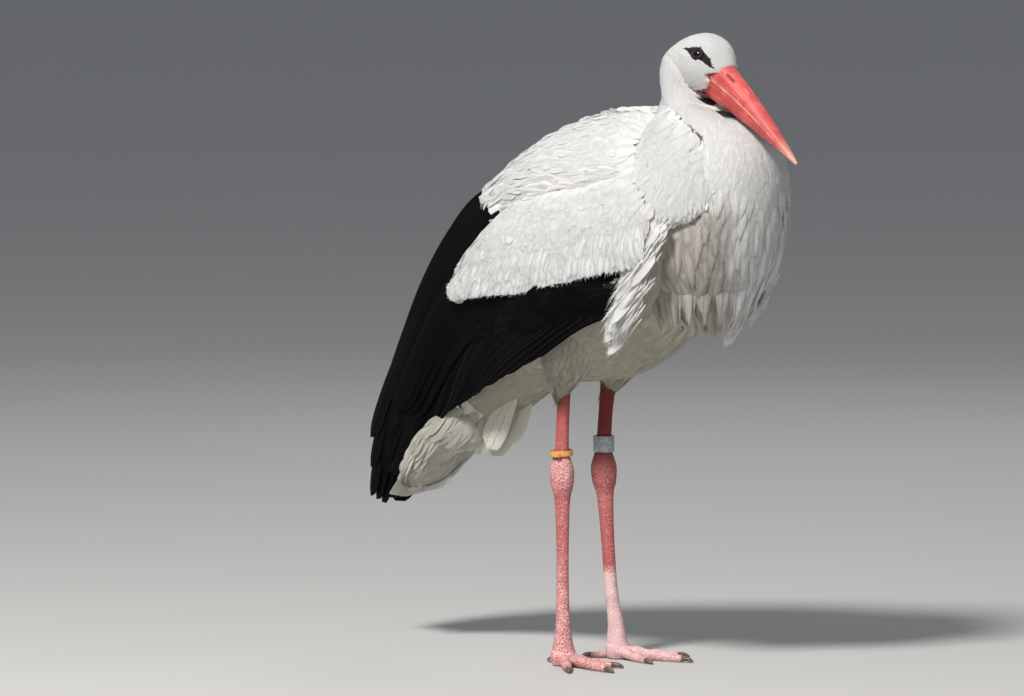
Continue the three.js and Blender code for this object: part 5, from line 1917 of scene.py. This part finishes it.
tips = {
    # the wing's longest feathers, from the back to the tip; between two of them one more is made
    **feather,
    "starts": [
        (-126, -44, 448), (-168, -30, 416), (-206, -30, 350), (-240, -24, 300), (-214, -30, 262),
        (-190, -32, 244)
    ],
    "ends": [
        (-222, -24, 338), (-256, -22, 276), (-290, -18, 215), (-296, -11, 152), (-281, -10, 147),
        (-262, -18, 166)
    ],
    "facing": (-0.35, -0.9, 0.25), "wide": 28, "bow": 0.03, "thick": 0.35, "camber": 0.16,
    "kind": "quill", "stations": 26, "seed": 34,
}
tail = {
    **feather,
    "count": 12, "wide": 30, "bow": 0.03, "thick": 0.3, "camber": 0.1, "kind": "quill", "stations": 26,
    "roll": 1, "barbs": 24, "barbFrom": 0.4, "barbLift": 0.04, "fan": 20, "seed": 35,
}


def makeWing(coat, loft, mirror):
    # Quills run from place to place on the folded wing. u goes evenly from one to the other, and c hurries
    # down first, as 1 - (1 - s)^1.7, so that each feather comes to lie along the lower edge. Their faces are
    # turned from the surface's own normal towards that of the wing's middle.
    rng = np.random.default_rng(quillVane["seed"])
    m, thick, depth = quillVane["stations"], quillVane["thick"] * mm, quillVane["depth"] * mm
    s = np.linspace(0, 1, m)
    hurry = 1 - (1 - s) ** 1.7
    for spec in quills.values():
        share = np.linspace(0, 1, spec["count"])[:, None]
        between = lambda pair: np.array(pair[0]) * (1 - share) + np.array(pair[1]) * share
        start, end = between(spec["from"]), between(spec["to"])
        start = start + rng.normal(0, 0.005, start.shape)
        end = end + rng.normal(0, 0.004, end.shape)
        u = start[:, :1] + (end - start)[:, :1] * s
        c = start[:, 1:] + (end - start)[:, 1:] * hurry
        v = np.arccos(np.clip(c, -0.985, 0.985))
        points, _, _, normal = loft.frame(np.clip(u, 0, 0.999), v)
        _, _, _, middle = loft.frame(np.clip(u, 0.03, 0.97), np.full(u.shape, pi / 2))
        lift = (spec["lift"][0] + (spec["lift"][1] - spec["lift"][0]) * share) * mm
        lines = points + normal * (lift * np.sin(0.5 * pi * s) - depth * (1 - s))[..., None]
        facing = unit(normal * 0.35 + middle * 0.65)
        half = spec["half"] * mm * (1 + rng.normal(0, 0.05, len(lines)))
        tone = rng.uniform(0, 1, len(lines))
        roots = bakePlace(u[:, 0], v[:, 0] / (2 * pi))
        coat.add(lines, facing, half[:, None] * profile("quill", m), thick, quillVane["camber"], roots, tone)
    knots = np.linspace(0, 1, len(tips["starts"]))
    t = np.linspace(0, 1, 2 * len(knots) - 1)
    starts, ends = (
        vectors(*(np.interp(t, knots, column) for column in np.array(tips[key], float).T)) * flip(mirror)
        for key in ("starts", "ends")
    )
    roots = vectors(0.8 + 0.15 * t, 0.1 + 0.3 * t)
    layBetween(coat, tips, starts, ends, tips["facing"] * flip(mirror), roots)


def makeQuills():
    black = blackFinish()
    for k, (side, mirror) in enumerate(rightLeft):
        coat = Coat("feathers_flight_" + side)
        makeWing(coat, flightLofts[k], mirror)
        # small black coverts fill the space between the long ones and the skin
        layCoat(coat, flightLofts[k], blackCoat)
        coat.build(black)
    makeTail()
    print("stage: flight feathers and tail")


def makeTail():
    # twelve flat feathers in a fan: root and tip move aside with the share across the fan
    # the tail and the coverts under it take darker, warmer copies of the white: painted shade
    shadedDingy = whiteFinish("plumage_tail", 0.64, 0.6, 0.001)
    under = whiteFinish("plumage_undertail", 0.60, 0.9, 0.001)
    coat = Coat("feathers_undertail")
    layCoat(coat, tailLoft, undertailCoat, clearOf(([trunkLoft], 0.95)))
    starts, ends = (np.array(longUndertail[key], float) for key in ("starts", "ends"))
    roots = vectors(0.1 + 0.1 * np.arange(len(starts)), 0.1)
    layBetween(coat, longUndertail, starts, ends, vectors(-0.55, starts[:, 1] / 40, -0.8), roots)
    coat.build(under)
    share = np.linspace(-1, 1, tail["count"])
    along = np.abs(share)
    facing = unit(vectors(-0.75, 0.35 * share, 0.66))
    stack = facing * (1.5 - 2.6 * along)[:, None]
    starts = vectors(-158, 14 * share, 262 - 4 * along) + stack
    ends = vectors(-256 + 6 * along, 32 * share, 152 + 7 * along) + stack
    coat = Coat("feathers_tail")
    layBetween(coat, tail, starts, ends, facing, vectors(0.1 + 0.8 * (share + 1) / 2, 0.5))
    coat.build(shadedDingy)


setCamera()
setStudio()
makeSkin()
makeBill()
makeEyes()
makeLegs()
makeClaws()
makeRings()
makeCoats()
makeQuills()
